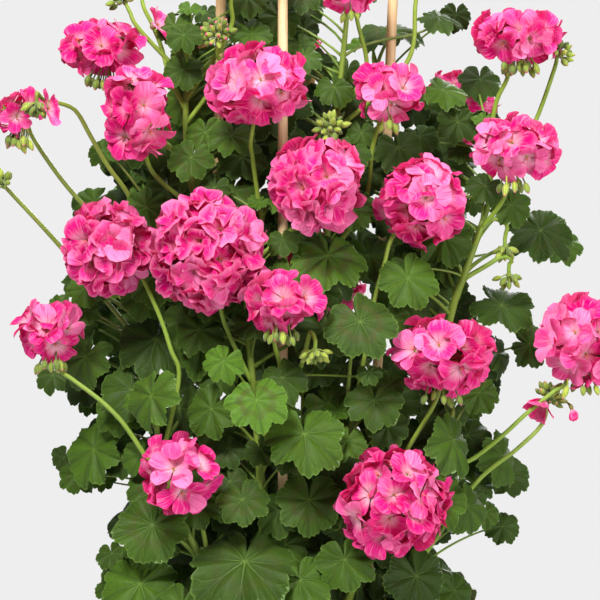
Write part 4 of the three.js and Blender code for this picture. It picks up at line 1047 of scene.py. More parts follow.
PETAL_GRID = (np.array((0, 0.24, 0.48, 0.7, 0.88, 1)), np.array((-1, -0.8, -0.42, 0, 0.42, 0.8, 1)))
COARSE_PETAL_GRID = (np.array((0, 0.35, 0.68, 0.88, 1)), np.array((-1, -0.6, 0, 0.6, 1)))
PETAL_THICKNESS = 0.7
RUFFLED = 0.35
STAMEN_COUNT = 4
SEPAL_COUNT = 5
FLORET_RADIUS = 23
FLORET_SHARE = 0.62
FLORET_LEAN = 0.75
FLORET_STRAY = 0.2
LEAST_FLORETS = 6
HEAD_GIVE = 0.15
FLORETS_PER_AREA = (0.0092, 0.0105)
HEAD_FILL = 0.95
SPREAD_ROUNDS = 60
SPREAD_STEP = 0.04
SPREAD_START = (0.01, 2.2)
BASE_WEIGHT = 2.3


def spread_directions(axis, count):
    found = np.array(spiral(axis, count, *SPREAD_START))
    for _ in range(SPREAD_ROUNDS):
        for i in range(count):
            away = found[i] - np.delete(found, i, axis=0)
            push = (away / (np.linalg.norm(away, axis=1) ** 3)[:, None]).sum(axis=0)
            base = found[i] + axis
            push += BASE_WEIGHT * base / np.linalg.norm(base) ** 3
            found[i] = unit(found[i] + SPREAD_STEP * push)
    return found


def petal_points(base, out, across, face, shape):
    """A petal that rises from its claw and bends over towards its tip, wavy along its free edge."""
    s, v = shape["grid"][0][:, None], shape["grid"][1][None]
    size, rise, bend = shape["size"], shape["rise"], max(0.05, shape["bend"])
    outline = s * (1 - 0.3 * np.abs(v) ** 2.8 - shape["notch"] * np.exp(-(v / 0.35) ** 2) * s ** 4)
    broad = 0.1 + 0.9 * np.sin(np.minimum(1, s / 0.8) * math.pi / 2) ** 1.6
    slope = rise - bend * outline
    x = size * (np.sin(rise) - np.sin(slope)) / bend
    z = size * (np.cos(slope) - np.cos(rise)) / bend
    y = size * shape["half"] * broad * (v - 0.08 * v ** 3)
    z = z + size * (shape["cup"] * s * v ** 2 + shape["tilt"] * v * s)
    z = z + size * shape["wave"] * s ** 1.6 * np.sin(shape["phase"] + 3.1 * v)
    z = z + 0.6 * size * shape["wave"] * s ** 2.6 * np.sin(2.3 * shape["phase"] + 7.5 * v)
    y = y + 0.5 * size * shape["wave"] * s ** 2 * np.sin(1.7 * shape["phase"] + 5 * s)
    return base + x[..., None] * out + y[..., None] * across + z[..., None] * face


def add_petal(form, keep_inside, top, face, grid, seed, tint):
    rows, columns = grid
    inside = np.outer((1 - rows ** 6) * np.minimum(1, 5 * rows), 1 - columns ** 6)
    s, v = np.meshgrid(rows, columns, indexing="ij")
    marks = np.stack((s, v, np.full_like(s, seed)), axis=-1).reshape(-1, 3)
    under = top - PETAL_THICKNESS * inside[..., None] * face
    for sheet, is_under in ((top, 0), (under, 1)):
        points = keep_inside(sheet.reshape(-1, 3))
        faces = [grid_faces(len(rows), len(columns), flip=not is_under)]
        form.add(points, faces, marks, (tint[0], is_under, tint[1]), slot=0)


def add_floret(form, keep_inside, centre, face, size, ruffle, tone, draw, whorls=None, grid=PETAL_GRID):
    side, other = across_plane(face)
    seed = draw()
    spin = 2 * math.pi * draw()
    rise, bend = lerp(0.45, 1.1, ruffle) + 0.2 * draw(), lerp(0.4, 1.35, ruffle) + 0.3 * draw()
    whorls = whorls or [(5, size, rise, bend, grid)]
    if ruffle > RUFFLED:
        whorls.append((1 + round(3 * ruffle), 0.7 * size, rise + 0.3, bend + 0.2, COARSE_PETAL_GRID))
    for count, length, lift, over, grid in whorls:
        for k in range(count):
            out = around(spin + 2 * math.pi * (k + draw(-0.1, 0.1)) / count, side, other)
            shape = dict(
                size=length * draw(0.9, 1.12) * (1 + 0.16 * over), rise=lift + draw(-0.22, 0.22),
                bend=over + draw(-0.2, 0.3), half=draw(0.34, 0.47) + 0.07 * ruffle,
                cup=draw(-0.06, 0.2), tilt=draw(0.02, 0.13), phase=6.3 * draw(),
                wave=lerp(0.025, 0.13, ruffle) * draw(0.5, 1.5), notch=0.07 * draw(), grid=grid)
            top = petal_points(centre + 1.2 * out, out, cross(face, out), face, shape)
            own_tone = clamp(tone + draw(-0.35, 0.35), 0, 1)
            add_petal(form, keep_inside, top, face, grid, seed, (own_tone, ruffle))
        spin += math.pi / count
    for k in range(STAMEN_COUNT):
        lean = unit(face + 0.35 * around(spin + 1.6 * k, side, other))
        start = centre + 0.05 * size * face
        add_tube(form, [start, start + 0.22 * size * lean], (0.3, 0.45), 3, (0.5, 0, 0), slot=1)


def stray(draw):
    return vector(draw() - 0.5, draw() - 0.5, draw() - 0.5)


def add_head(petals, greens, head, draw):
    middle, ruffle = head["middle"], head["ruffle"]
    stretch = vector(head["wide"], head["wide"], head["tall"])
    mean = math.sqrt(head["wide"] * min(head["wide"], head["tall"]))
    size = min(FLORET_RADIUS, FLORET_SHARE * mean)

    def keep_inside(points):
        offset = (points - middle) / stretch
        reach = np.linalg.norm(offset, axis=1)[:, None]
        edge = 1 + HEAD_GIVE * np.tanh((reach - 1) / HEAD_GIVE)
        return middle + offset * stretch * np.where(reach > 1, edge / np.maximum(reach, 1e-6), 1)

    rise = lerp(0.36, 0.5, ruffle) * size
    inset = mean - math.sqrt(mean * mean - 0.8 * size * size) + rise
    count = lerp(*FLORETS_PER_AREA, ruffle) * mean * mean * head.get("fullness", 1)
    grid = COARSE_PETAL_GRID if middle[1] > 0 else PETAL_GRID
    for direction in spread_directions(head["axis"], max(LEAST_FLORETS, round(count))):
        direction = unit(direction + FLORET_STRAY * stray(draw))
        face = unit(unit(direction / stretch) + FLORET_LEAN * stray(draw))
        centre = middle + direction * (HEAD_FILL * stretch - inset - draw(-3, 6))
        tone, own_size = draw(0.1, 0.9), size * draw(0.9, 1.06)
        add_floret(petals, keep_inside, centre, face, own_size, ruffle, tone, draw, grid=grid)
        add_pedicel(greens, head, centre, face, draw)


def add_side_floret(form, floret, draw):
    path = clusters[floret["cluster"]]["path"]
    places = np.array([path.at(i / 60) for i in range(61)])
    near = from_view(*floret["root"], places[0][1])
    root = places[np.hypot(*(places - near)[:, (0, 2)].T).argmin()]
    face, size, opening = unit(vector(*floret["face"])), floret["size"], floret["opening"]
    centre = from_view(*floret["seen"], root[1] - 18) - 0.5 * size * face
    stalk = BentPath(root, lerp(root, centre, 0.4) + 4 * UP, centre - 8 * face, centre - 1.5 * face)
    middles = np.concatenate((samples(stalk, 3), [centre + 0.16 * size * face]))
    radii = np.append(np.full(len(middles) - 4, 1.1), (1.6, 2.1, 2.2, 1.4))
    add_tube(form, middles, radii, 6, (0.5, 0.8, 0), slot=2)
    whorls = [(5, size, lerp(1.5, 0.7, opening), lerp(0.1, 0.9, opening), PETAL_GRID)]
    add_floret(form, lambda points: points, centre, face, size, 0.3, 0.5, draw, whorls)


# The slender stalk of a floret, with its five pointed sepals

def add_pedicel(form, head, centre, face, draw):
    base = centre - 4 * face
    tone = draw()
    path = BentPath(head["start"], lerp(head["start"], base, 0.4) + 2 * UP, base - 6 * face, base)
    add_tube(form, samples(path, 10), 0.8, 4, (tone, 0.3 * draw(), 0))
    middles = [base - 2.5 * face, base - 1.5 * face, base, centre - 1.5 * face, centre]
    add_tube(form, middles, (0.7, 1.5, 1.9, 1.7, 1.2), 6, (tone, 0.1, 1))
    side, other = across_plane(face)
    for k in range(SEPAL_COUNT):
        out = around(2 * math.pi * (k + 0.3) / SEPAL_COUNT, side, other)
        middles = [centre - 3 * face + out, centre - 2.2 * face + 3.5 * out, centre - 2.6 * face + 7 * out]
        add_tube(form, middles, (1.1, 1.2, 0.2), 3, (tone, 0.1, 1))


# Pot, soil and canes

CANE_KNOT_RISE = 4
CANE_KNOT_FALL = 3
CANE_KNOT_REACH = 9
CANE_MARK_STEP = 12
CANE_HOLLOW = 0.6
POT_TURNING = 0.35
POT_RIM_TURNING = 0.3
GAP = 0.35
CRUMB_COUNT = 180
CRUMB_SIZES = (1, 2.6)
CROWN_FLAT_RADIUS = 59
CROWN_FALL = 1.2
TURNS = circle(POT_SIDES)


def wall_radius(height, inset):
    top = POT_RIM_RADIUS - POT_RIM_OVERHANG
    return lerp(POT_FOOT_RADIUS, top, height / (POT_HEIGHT - POT_RIM_HEIGHT)) - inset


def turned(form, profile):
    """A closed solid of revolution. The profile runs from the axis up the outside and back to the axis."""
    rings = [np.stack((radius * np.cos(TURNS), radius * np.sin(TURNS), np.full(POT_SIDES, height)), axis=1)
        for radius, height in profile]
    points = np.concatenate([*rings, [vector(0, 0, profile[0][1]), vector(0, 0, profile[-1][1])]])
    form.add(points, capped_faces(len(profile), POT_SIDES), (0, 0, 0), (0, 0, 0))


def make_pot(material):
    shoulder = POT_HEIGHT - POT_RIM_HEIGHT
    inner, rim = POT_RIM_RADIUS - POT_WALL, POT_RIM_RADIUS
    outside = [(wall_radius(h, 0) - POT_TURNING * (1 - math.cos(0.55 * h)), h)
        for h in np.linspace(3, 196, 66)]
    band = [(rim - POT_RIM_TURNING * (1 - math.cos(0.9 * h)), h)
        for h in np.linspace(shoulder + 4, 234, 18)]
    inside = [(wall_radius(h, POT_WALL), h) for h in np.linspace(shoulder - 8, POT_FLOOR + 5, 12)]
    profile = [
        (30, 0.6), (60, 0.6), (88, 0.6), (92, 0), (POT_FOOT_RADIUS - 2, 0), (POT_FOOT_RADIUS, 1.6), *outside,
        (wall_radius(199, 0), 199), (wall_radius(shoulder, 0), shoulder - 0.4),
        (wall_radius(shoulder, 0) + 1.2, shoulder), (rim - 3.2, shoulder + 0.4), (rim - 1, shoulder + 1.6),
        *band, (rim, 235.5), (rim - 0.5, 237.8), (rim - 1.8, 239.4), (rim - 3.6, POT_HEIGHT),
        (inner + 2, POT_HEIGHT), (inner + 0.6, 239.2), (inner, 237.6), (inner, 220),
        (wall_radius(shoulder, POT_WALL) + 2.4, shoulder + 5), (wall_radius(shoulder, POT_WALL), shoulder),
        *inside, (wall_radius(POT_FLOOR, POT_WALL) - 1.4, POT_FLOOR + 1.2),
        (wall_radius(POT_FLOOR, POT_WALL) - 6, POT_FLOOR), (30, POT_FLOOR),
    ]
    form = Form(material)
    turned(form, profile)
    pot = form.finish("pot_fired")
    for i in range(DRAIN_COUNT):
        angle = 2 * math.pi * (i + 0.5) / DRAIN_COUNT
        place = vector(DRAIN_CIRCLE * math.cos(angle), DRAIN_CIRCLE * math.sin(angle), POT_FLOOR / 2)
        bpy.ops.mesh.primitive_cylinder_add(
            vertices=28, radius=DRAIN_RADIUS * MM, depth=3 * POT_FLOOR * MM, location=place * MM)
        cutter = bpy.context.object
        cut = pot.modifiers.new("drain", "BOOLEAN")
        cut.object, cut.operation, cut.solver = cutter, "DIFFERENCE", "EXACT"
        bpy.context.view_layer.objects.active = pot
        bpy.ops.object.modifier_apply(modifier=cut.name)
        bpy.data.objects.remove(cutter)
    return pot


def crown_height(reach, edge):
    slope = np.clip((reach - CROWN_FLAT_RADIUS) / (edge - CROWN_FLAT_RADIUS), 0, 1)
    return SOIL_LEVEL - CROWN_FALL - SOIL_CROWN * slope


def make_soil(material, draw):
    """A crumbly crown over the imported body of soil, with crumbs of bark and stone lying in it."""
    shoulder = POT_HEIGHT - POT_RIM_HEIGHT
    bottom, inset = POT_FLOOR + GAP, POT_WALL + GAP
    edge = wall_radius(shoulder, inset)
    radii = np.linspace(edge - 0.4, 4, 26)
    crown = crown_height(radii, edge)
    lower = [(wall_radius(h, inset), h) for h in np.linspace(bottom + 1, shoulder, 14)]
    profile = [(20, bottom), (60, bottom), *lower, (edge, crown[0] - 2), *zip(radii, crown)]
    form = Form(material)
    turned(form, profile)
    points = form.points[0]
    on_crown = slice(POT_SIDES * (len(profile) - len(radii) + 1), POT_SIDES * len(profile))
    x, y = points[on_crown, 0], points[on_crown, 1]
    rough = np.sin(0.43 * x + 1.3 * np.sin(0.31 * y)) * np.sin(0.39 * y + 1.7 * np.sin(0.27 * x))
    points[on_crown, 2] += 0.8 * rough + 0.4 * np.sin(1.3 * x) * np.sin(1.1 * y + 0.6 * x)
    for _ in range(CRUMB_COUNT):
        angle, reach = 2 * math.pi * draw(), (edge - 5) * math.sqrt(draw())
        size = lerp(*CRUMB_SIZES, draw() ** 2)
        height = crown_height(reach, edge) - 0.35 * size
        add_crumb(form, vector(reach * math.cos(angle), reach * math.sin(angle), height), size, draw)
    return form.finish("soil_crumbly")


def add_crumb(form, middle, size, draw):
    start = form.count
    add_ball(form, vector(0, 0, 0), 1, (draw(), 1, 0), slot=0)
    points = form.points[-1]
    stretch = size * vector(draw(0.6, 1.3), draw(0.6, 1.3), draw(0.5, 0.8))
    bumps = 1 + 0.16 * np.sin(5.1 * points[:, 0] + 9 * draw()) * np.sin(4.3 * points[:, 1] + start)
    form.points[-1] = middle + points * stretch * bumps[:, None]


def add_cane(form, cane, tone):
    foot, top = (np.array(end, float) for end in CANES[cane])
    length = distance(foot, top)
    along = (top - foot) / length
    knots = np.arange(CANE_KNOT_SPACING, length - CANE_PLAIN_TOP, CANE_KNOT_SPACING)
    marks = [0.0, *(length - vector(6, 1.2, 0.4, 0))]
    for at in np.arange(CANE_MARK_STEP, length - 8, CANE_MARK_STEP):
        if np.abs(knots - at).min() > CANE_KNOT_REACH:
            marks.append(at)
    for knot in knots:
        marks.extend(knot + vector(-8, -CANE_KNOT_RISE, -2.4, -1.2, -0.4, 0, 0.8, 1.6, CANE_KNOT_FALL, 7))
    marks.sort()
    offsets = [min(at - knots, key=abs) for at in marks]
    radii = []
    for at, near in zip(marks, offsets):
        rise = 0.9 * math.exp(-(near / 2.1) ** 2) - 0.45 * math.exp(-((near + 0.9) / 0.7) ** 2)
        radius = CANE_RADIUS - 0.12 + 0.1 * math.sin(0.021 * at + 9 * tone) + rise
        radii.append(radius - (0.5 if at in (0.0, length) else 0))
    add_tube(form, [foot + at * along for at in marks], radii, CANE_SIDES, (tone, 0, 0))
    form.points[-1][-1] -= CANE_HOLLOW * along
    values = form.form[-1].copy()
    values[:-2, 0] = np.repeat(np.array(marks) / length, CANE_SIDES)
    values[:-2, 1] = np.repeat(np.clip(1 - np.abs(offsets) / CANE_KNOT_REACH, 0, 1), CANE_SIDES)
    form.form[-1] = values


# Materials

def srgb(red, green, blue):
    def linear(part):
        part /= 255
        return part / 12.92 if part <= 0.04045 else ((part + 0.055) / 1.055) ** 2.4

    return (linear(red), linear(green), linear(blue), 1)


class Shader:
    """A material under construction, with short names for the nodes it is made of."""

    def __init__(self, name):
        self.material = bpy.data.materials.new(name)
        self.material.use_nodes = True
        self.tree = self.material.node_tree
        self.tree.nodes.clear()
        self.output = self.tree.nodes.new("ShaderNodeOutputMaterial")

    def plug(self, socket, value):
        if isinstance(value, bpy.types.NodeSocket):
            self.tree.links.new(value, socket)
        else:
            socket.default_value = value

    def node(self, kind, output=0, settings=(), **inputs):
        node = self.tree.nodes.new("ShaderNode" + kind)
        for label, value in dict(settings).items():
            setattr(node, label, value)
        for label, value in inputs.items():
            key = int(label[1:]) if label[0] == "_" else label.replace("_", " ")
            self.plug(node.inputs[key], value)
        return node.outputs[output]

    def math(self, operation, *values, clamp=False):
        inputs = {f"_{i}": value for i, value in enumerate(values)}
        return self.node("Math", settings=dict(operation=operation, use_clamp=clamp), **inputs)

    def times(self, one, other, clamp=False):
        return self.math("MULTIPLY", one, other, clamp=clamp)

    def scaled(self, value, share, start):
        return self.math("MULTIPLY_ADD", value, share, start)

    def strayed(self, value, noise, share):
        """The value, moved up or down by a share of the noise."""
        return self.scaled(noise, share, self.math("SUBTRACT", value, share / 2))

    def fit(self, value, low, high, new_low=0.0, new_high=1.0):
        return self.node("MapRange", settings=dict(interpolation_type="SMOOTHSTEP"),
            _0=value, _1=low, _2=high, _3=new_low, _4=new_high)

    def mix(self, share, one, other):
        return self.node("Mix", output=2, settings=dict(data_type="RGBA"), _0=share, _6=one, _7=other)

    def tinted(self, color, share, *tone):
        return self.mix(share, color, srgb(*tone))

    def washed(self, color, value, low, high, share, *tone):
        """The colour under a tint that comes in where the value lies between low and high."""
        return self.tinted(color, self.fit(value, low, high, 0.0, share), *tone)

    def ramp(self, value, *stops):
        node = self.tree.nodes.new("ShaderNodeValToRGB")
        self.plug(node.inputs[0], value)
        elements = node.color_ramp.elements
        while len(elements) < len(stops):
            elements.new(0.5)
        for element, (place, *tone) in zip(elements, stops):
            element.position, element.color = place, srgb(*tone)
        return node.outputs[0]

    def place(self):
        return self.node("TexCoord", output=3)

    def noise(self, scale, detail=3.0, place=None):
        return self.node("TexNoise", Vector=place or self.place(), Scale=scale, Detail=detail,
            Roughness=0.55)

    def parts(self, name):
        values = self.node("Attribute", output=1, settings=dict(attribute_name=name))
        separate = self.tree.nodes.new("ShaderNodeSeparateXYZ")
        self.plug(separate.inputs[0], values)
        return tuple(separate.outputs)

    def bump(self, height, strength, reach):
        return self.node("Bump", Height=height, Strength=strength, Distance=reach)

    def solid(self, color, roughness, **more):
        return self.node("BsdfPrincipled", Base_Color=color, Roughness=roughness, **more)

    def finish(self, surface):
        self.plug(self.output.inputs[0], surface)
        return self.material


def leaf_material():
    s = Shader("leaf")
    lobe, reach, _ = s.parts("form")
    tone, zone, under = s.parts("tint")
    mottle, fine = s.noise(38.0, 4.0), s.noise(310.0)
    base = s.ramp(s.strayed(tone, mottle, 0.36),
        (0.0, 24, 40, 2), (0.35, 44, 67, 4), (0.65, 65, 95, 11), (1.0, 84, 126, 26))
    aside, width = s.math("PINGPONG", lobe, 0.5), s.times(reach, 0.84)
    gap = s.times(aside, width)
    main = s.fit(gap, 0.006, s.scaled(reach, -0.012, 0.03), 1.0, 0.0)

    def side_vein(start, end, slope, thin, thick, strength):
        """A vein that forks off its lobe's main one from the given reach on."""
        way = s.times(s.math("MAXIMUM", s.math("SUBTRACT", reach, start), 0.0), slope)
        beside = s.times(s.math("ABSOLUTE", s.math("SUBTRACT", aside, way)), width)
        return s.times(s.fit(beside, thin, thick, strength, 0.0), s.fit(reach, start, end))

    fork = side_vein(0.36, 0.46, 0.5, 0.002, 0.016, 1.0)
    third = side_vein(0.64, 0.72, 0.55, 0.0, 0.011, 0.7)
    web = s.node("TexVoronoi", settings=dict(feature="DISTANCE_TO_EDGE"), Vector=s.place(), Scale=190.0)
    web = s.fit(web, 0.0, 0.09, 0.22, 0.0)
    veins = s.math("MAXIMUM", s.math("MAXIMUM", main, fork), s.math("MAXIMUM", third, web))
    ring = s.times(s.fit(reach, 0.36, 0.5), s.fit(reach, 0.56, 0.7, 1.0, 0.0))
    ring = s.times(s.times(ring, zone), s.fit(mottle, 0.25, 0.7, 0.5, 1.0))
    color = s.tinted(base, s.times(ring, 0.62), 70, 58, 26)
    vein_color = s.tinted(color, 0.6, 118, 146, 62)
    # Dark lines painted along both sides of each main vein: painted shade in the folds of the pleats
    painted_crease_shade = s.times(s.fit(gap, 0.012, 0.06, 0.36, 0.0), s.fit(reach, 0.02, 0.2))
    color = s.tinted(color, painted_crease_shade, 20, 32, 4)
    color = s.mix(s.times(veins, s.fit(reach, 0.05, 0.6, 0.5, 0.15)), color, vein_color)
    color = s.washed(color, s.math("ADD", reach, s.times(fine, 0.05)), 0.97, 1.02, 0.35, 110, 140, 60)
    color = s.washed(color, fine, 0.4, 0.75, 0.25, 36, 58, 18)
    below = s.tinted(srgb(108, 136, 84), s.times(veins, 0.5), 158, 182, 120)
    below = s.washed(below, mottle, 0.3, 0.7, 0.35, 86, 116, 62)
    color = s.mix(under, color, below)
    normal = s.bump(s.scaled(veins, -0.7, s.times(fine, 0.5)), 0.5, 0.0012)
    return s.finish(s.solid(color, 0.58, Normal=normal, Specular_IOR_Level=0.22,
        Sheen_Weight=0.02, Sheen_Roughness=0.6))


def stalk_material():
    s = Shader("stalk")
    tone, red, _ = s.parts("tint")
    grain, fine = s.noise(90.0, 4.0), s.noise(700.0, 2.0)
    base = s.ramp(s.strayed(tone, grain, 0.4), (0.0, 78, 104, 30), (0.45, 112, 142, 38), (1.0, 146, 174, 58))
    color = s.tinted(base, s.times(red, s.fit(grain, 0.3, 0.7, 0.55, 1.2)), 120, 74, 52)
    color = s.washed(color, fine, 0.45, 0.7, 0.12, 176, 198, 110)
    normal = s.bump(s.math("ADD", grain, fine), 0.2, 0.0004)
    return s.finish(s.solid(color, 0.5, Normal=normal, Specular_IOR_Level=0.35,
        Sheen_Weight=0.06, Sheen_Roughness=0.5))


def bud_material():
    s = Shader("bud")
    along, _, _ = s.parts("form")
    tone, pink, _ = s.parts("tint")
    grain = s.noise(160.0)
    base = s.ramp(s.strayed(tone, grain, 0.4), (0.0, 78, 100, 20), (0.5, 122, 144, 34), (1.0, 164, 180, 58))
    stripes = s.node("TexWave", settings=dict(wave_type="BANDS", bands_direction="X"), Vector=s.place(),
        Scale=160.0, Distortion=4.0)
    base = s.tinted(base, s.times(stripes, 0.25), 86, 104, 42)
    tip = s.times(s.fit(along, 0.72, 0.96), s.times(pink, 1.4), clamp=True)
    color = s.tinted(base, tip, 226, 62, 132)
    normal = s.bump(s.math("ADD", grain, stripes), 0.4, 0.0006)
    return s.finish(s.solid(color, 0.6, Normal=normal, Sheen_Weight=0.35, Sheen_Roughness=0.45))


def petal_material():
    s = Shader("petal")
    along, aside, seed = s.parts("form")
    tone, under, ruffle = s.parts("tint")
    soft, fine = s.noise(60.0), s.noise(520.0)
    body = s.ramp(s.strayed(tone, soft, 0.5), (0.0, 222, 0, 120), (0.5, 242, 42, 149), (1.0, 252, 144, 200))
    eye = s.fit(s.scaled(seed, -0.22, along), 0.0, 0.46, 1.0, 0.0)
    color = s.tinted(body, s.times(eye, s.scaled(ruffle, -0.55, 0.95)), 253, 214, 226)

    def ribs(count):
        return s.math("ABSOLUTE", s.math("SINE", s.times(aside, count)))

    rays = s.times(s.fit(ribs(11.0), 0.0, 0.34, 1.0, 0.0), s.fit(along, 0.8, 0.1))
    color = s.tinted(color, s.times(rays, 0.6), 212, 6, 104)
    # Streaks along each petal: the pale pink ones are painted sheen and the deep magenta ones are painted
    # shade
    streak_place = s.node("CombineXYZ", _0=s.times(aside, 6.5), _1=s.times(along, 1.7),
        _2=s.scaled(tone, 23.0, s.times(seed, 71.0)))
    sheen_and_shade_streak = s.noise(1.0, place=streak_place)
    color = s.washed(color, sheen_and_shade_streak, 0.5, 0.72, 0.5, 253, 178, 212)
    color = s.tinted(color, s.fit(sheen_and_shade_streak, 0.26, 0.5, 0.75, 0.0), 222, 0, 116)
    # Petals lightened towards their tips, more on ruffled heads: a painted highlight where the thin edges
    # catch the light
    rim = s.times(s.fit(along, 0.72, 1.0), s.scaled(ruffle, 0.5, 0.1))
    color = s.tinted(color, rim, 252, 156, 196)
    color = s.tinted(color, s.times(under, 0.08), 250, 140, 190)
    color = s.washed(color, fine, 0.45, 0.75, 0.04, 254, 190, 220)
    normal = s.bump(s.scaled(ribs(17.0), 0.35, fine), 0.35, 0.0006)
    solid = s.solid(color, 0.45, Normal=normal, Specular_IOR_Level=0.05)
    glow = s.node("BsdfTranslucent", Color=color, Normal=normal)
    return s.finish(s.node("MixShader", _0=0.38, _1=solid, _2=glow))


def stamen_material():
    s = Shader("stamen")
    grain = s.noise(600.0, 2.0)
    color = s.ramp(grain, (0.3, 196, 50, 50), (0.7, 236, 150, 90))
    return s.finish(s.solid(color, 0.6, Normal=s.bump(grain, 0.4, 0.0003)))


def cane_material():
    s = Shader("bamboo")
    _, knot, _ = s.parts("form")
    tone, _, _ = s.parts("tint")
    fibre = s.noise(900.0, place=s.node("Mapping", Vector=s.place(), Scale=(1.0, 1.0, 0.02)))
    color = s.ramp(s.strayed(tone, s.noise(14.0), 0.4),
        (0.0, 196, 148, 88), (0.5, 230, 194, 140), (1.0, 246, 220, 178))
    color = s.washed(color, fibre, 0.35, 0.7, 0.5, 178, 132, 80)
    color = s.washed(color, knot, 0.82, 0.98, 0.75, 112, 76, 42)
    color = s.washed(color, s.noise(240.0, 2.0), 0.66, 0.74, 0.5, 120, 84, 50)
    return s.finish(s.solid(color, 0.42, Normal=s.bump(fibre, 0.35, 0.0005)))


def terracotta_material():
    s = Shader("terracotta")
    cloud, fine, speck = s.noise(9.0, 5.0), s.noise(260.0, 4.0), s.noise(900.0, 2.0)
    color = s.ramp(cloud, (0.25, 158, 84, 52), (0.5, 184, 104, 66), (0.75, 204, 128, 88))
    color = s.washed(color, fine, 0.55, 0.75, 0.4, 146, 76, 48)
    bloom = s.times(s.fit(s.noise(15.0, 5.0), 0.54, 0.7), s.fit(fine, 0.3, 0.7, 0.4, 1.0))
    color = s.tinted(color, s.times(bloom, 0.4), 226, 204, 186)
    color = s.washed(color, speck, 0.7, 0.78, 0.6, 92, 54, 38)
    normal = s.bump(s.scaled(speck, 0.4, fine), 0.5, 0.0008)
    return s.finish(s.solid(color, s.fit(cloud, 0.3, 0.7, 0.78, 0.92), Normal=normal))


def soil_material():
    s = Shader("soil")
    clod, fine = s.noise(120.0, 5.0), s.noise(700.0)
    crumb, _, _ = s.parts("tint")
    color = s.ramp(clod, (0.3, 34, 24, 18), (0.55, 66, 48, 36), (0.8, 98, 76, 58))
    color = s.washed(color, crumb, 0.4, 0.9, 0.55, 124, 98, 74)
    color = s.washed(color, fine, 0.6, 0.75, 0.5, 24, 17, 13)
    normal = s.bump(s.math("ADD", clod, s.times(fine, 0.5)), 0.8, 0.002)
    return s.finish(s.solid(color, 0.95, Normal=normal))


def floor_material():
    """A pale floor, a little darker under the plant than far from it: a painted shadow under the plant, and
    painted light far out where the lamps' light falls off.
    """
    s = Shader("pale_floor")
    away = s.node("VectorMath", output=1, settings=dict(operation="LENGTH"), _0=s.place())
    away = s.scaled(s.noise(3.0, 2.0), 0.1, away)
    color = s.ramp(s.fit(away, 0.45, 1.75), (0.0, 182, 182, 182), (1.0, 216, 216, 216))
    return s.finish(s.solid(color, 0.9))


# Every leaf in its place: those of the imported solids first, then those that only the scene has. The rows
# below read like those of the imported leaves

EXTRA_SEED = 4407
LEAST_ZONE = -0.5
SMALL_LEAVES = (
    (187, 539, 34, 30, 0.4, 30), (161, 698, 30, 24, 0.3, 40), (-199, 698, 36, 30, 0.2, -40),
    (-216, 538, 34, 30, 0.4, -30), (204, 322, 40, 36, 0.4, 30), (-160, 680, 40, 32, 0.5, -20),
    (-28, 650, 34, 30, 0.8, 10), (5, 792, 44, 30, 0.9, 0), (103, 579, 36, 30, 0.8, 20),
    (-160, 392, 44, 40, 0.9, -30), (-112, 675, 40, 34, 0.8, -20), (-47, 815, 43, 30, 0.7, 20),
    (35, 761, 50, 36, 0.9, 15), (141, 833, 51, 18, 0, 60), (121, 712, 43, 30, 0.8, 20),
    (-16, 470, 60, 50, 0.3, 20), (-12, 392, 56, 50, 0.2, -20), (-20, 335, 60, 54, 0.4, 0),
    (-14, 300, 56, 50, 0.4, 10), (70, 590, 60, 50, 0.6, 20), (100, 700, 54, 44, 0.6, 20),
    (60, 640, 50, 44, 0.6, 0), (-60, 690, 54, 44, 0.6, -20), (-228, 552, 52, 48, 0.3, -40),
    (-240, 538, 40, 38, 0.6, -50), (-222, 518, 40, 50, 0.7, -20), (-200, 560, 56, 50, 0.8, -30),
    (-190, 520, 60, 56, 1, -10), (-196, 470, 56, 50, 0.9, -30), (-180, 440, 60, 50, 1.1, 0),
    (220, 513, 50, 54, 0.4, 30), (193, 483, 44, 50, 0.6, 10), (190, 440, 54, 60, 0.7, 20),
)
BIG_LEAVES = (
    (-150, 320, 92, 84, -1, -25), (-163, 262, 88, 66, -1, -25), (-65, 368, 78, 76, -1, 5),
    (20, 350, 76, 70, -0.8, 0), (155, 420, 84, 80, -0.5, 20), (185, 330, 74, 50, -0.5, 50),
    (-95, 432, 76, 66, -0.9, -15), (-150, 450, 58, 70, -0.5, -15), (-150, 508, 88, 70, -0.6, -10),
    (-205, 490, 70, 62, -0.3, -35), (-215, 560, 50, 44, -0.2, -40), (-60, 662, 80, 68, -0.6, -15),
    (-112, 745, 54, 52, -0.9, -15), (-112, 798, 50, 54, -0.9, -10), (-70, 712, 66, 44, -0.2, -10),
    (145, 610, 66, 60, -0.2, 15), (110, 568, 66, 58, -0.3, 20), (100, 775, 50, 30, 0.2, 20),
    (-155, 640, 52, 50, -0.2, -30), (-95, 715, 50, 45, -0.3, 0), (-120, 262, 70, 60, -1.1, -10),
    (0, 262, 70, 56, -1.1, 5), (140, 345, 62, 56, -0.6, 30), (70, 385, 62, 54, -0.4, 0),
    (-110, 690, 50, 44, -0.8, -20), (120, 275, 74, 62, -1, 15), (-100, 500, 70, 60, 0, -10),
)
BIG_SCALES = (1, 0.9, 0.8)
BIG_SHIFTS = (0, 9, 18, 27, 38, 50)
NEAR_SHIFTS = BIG_SHIFTS[:-1]

# Spots that leaves are tried for, across and up: before canes, stems and heads of the back that would show
# there, and where the photo shows no backdrop. For each kind, how often a spot is tried, and the ends of the
# widths and layers that are drawn

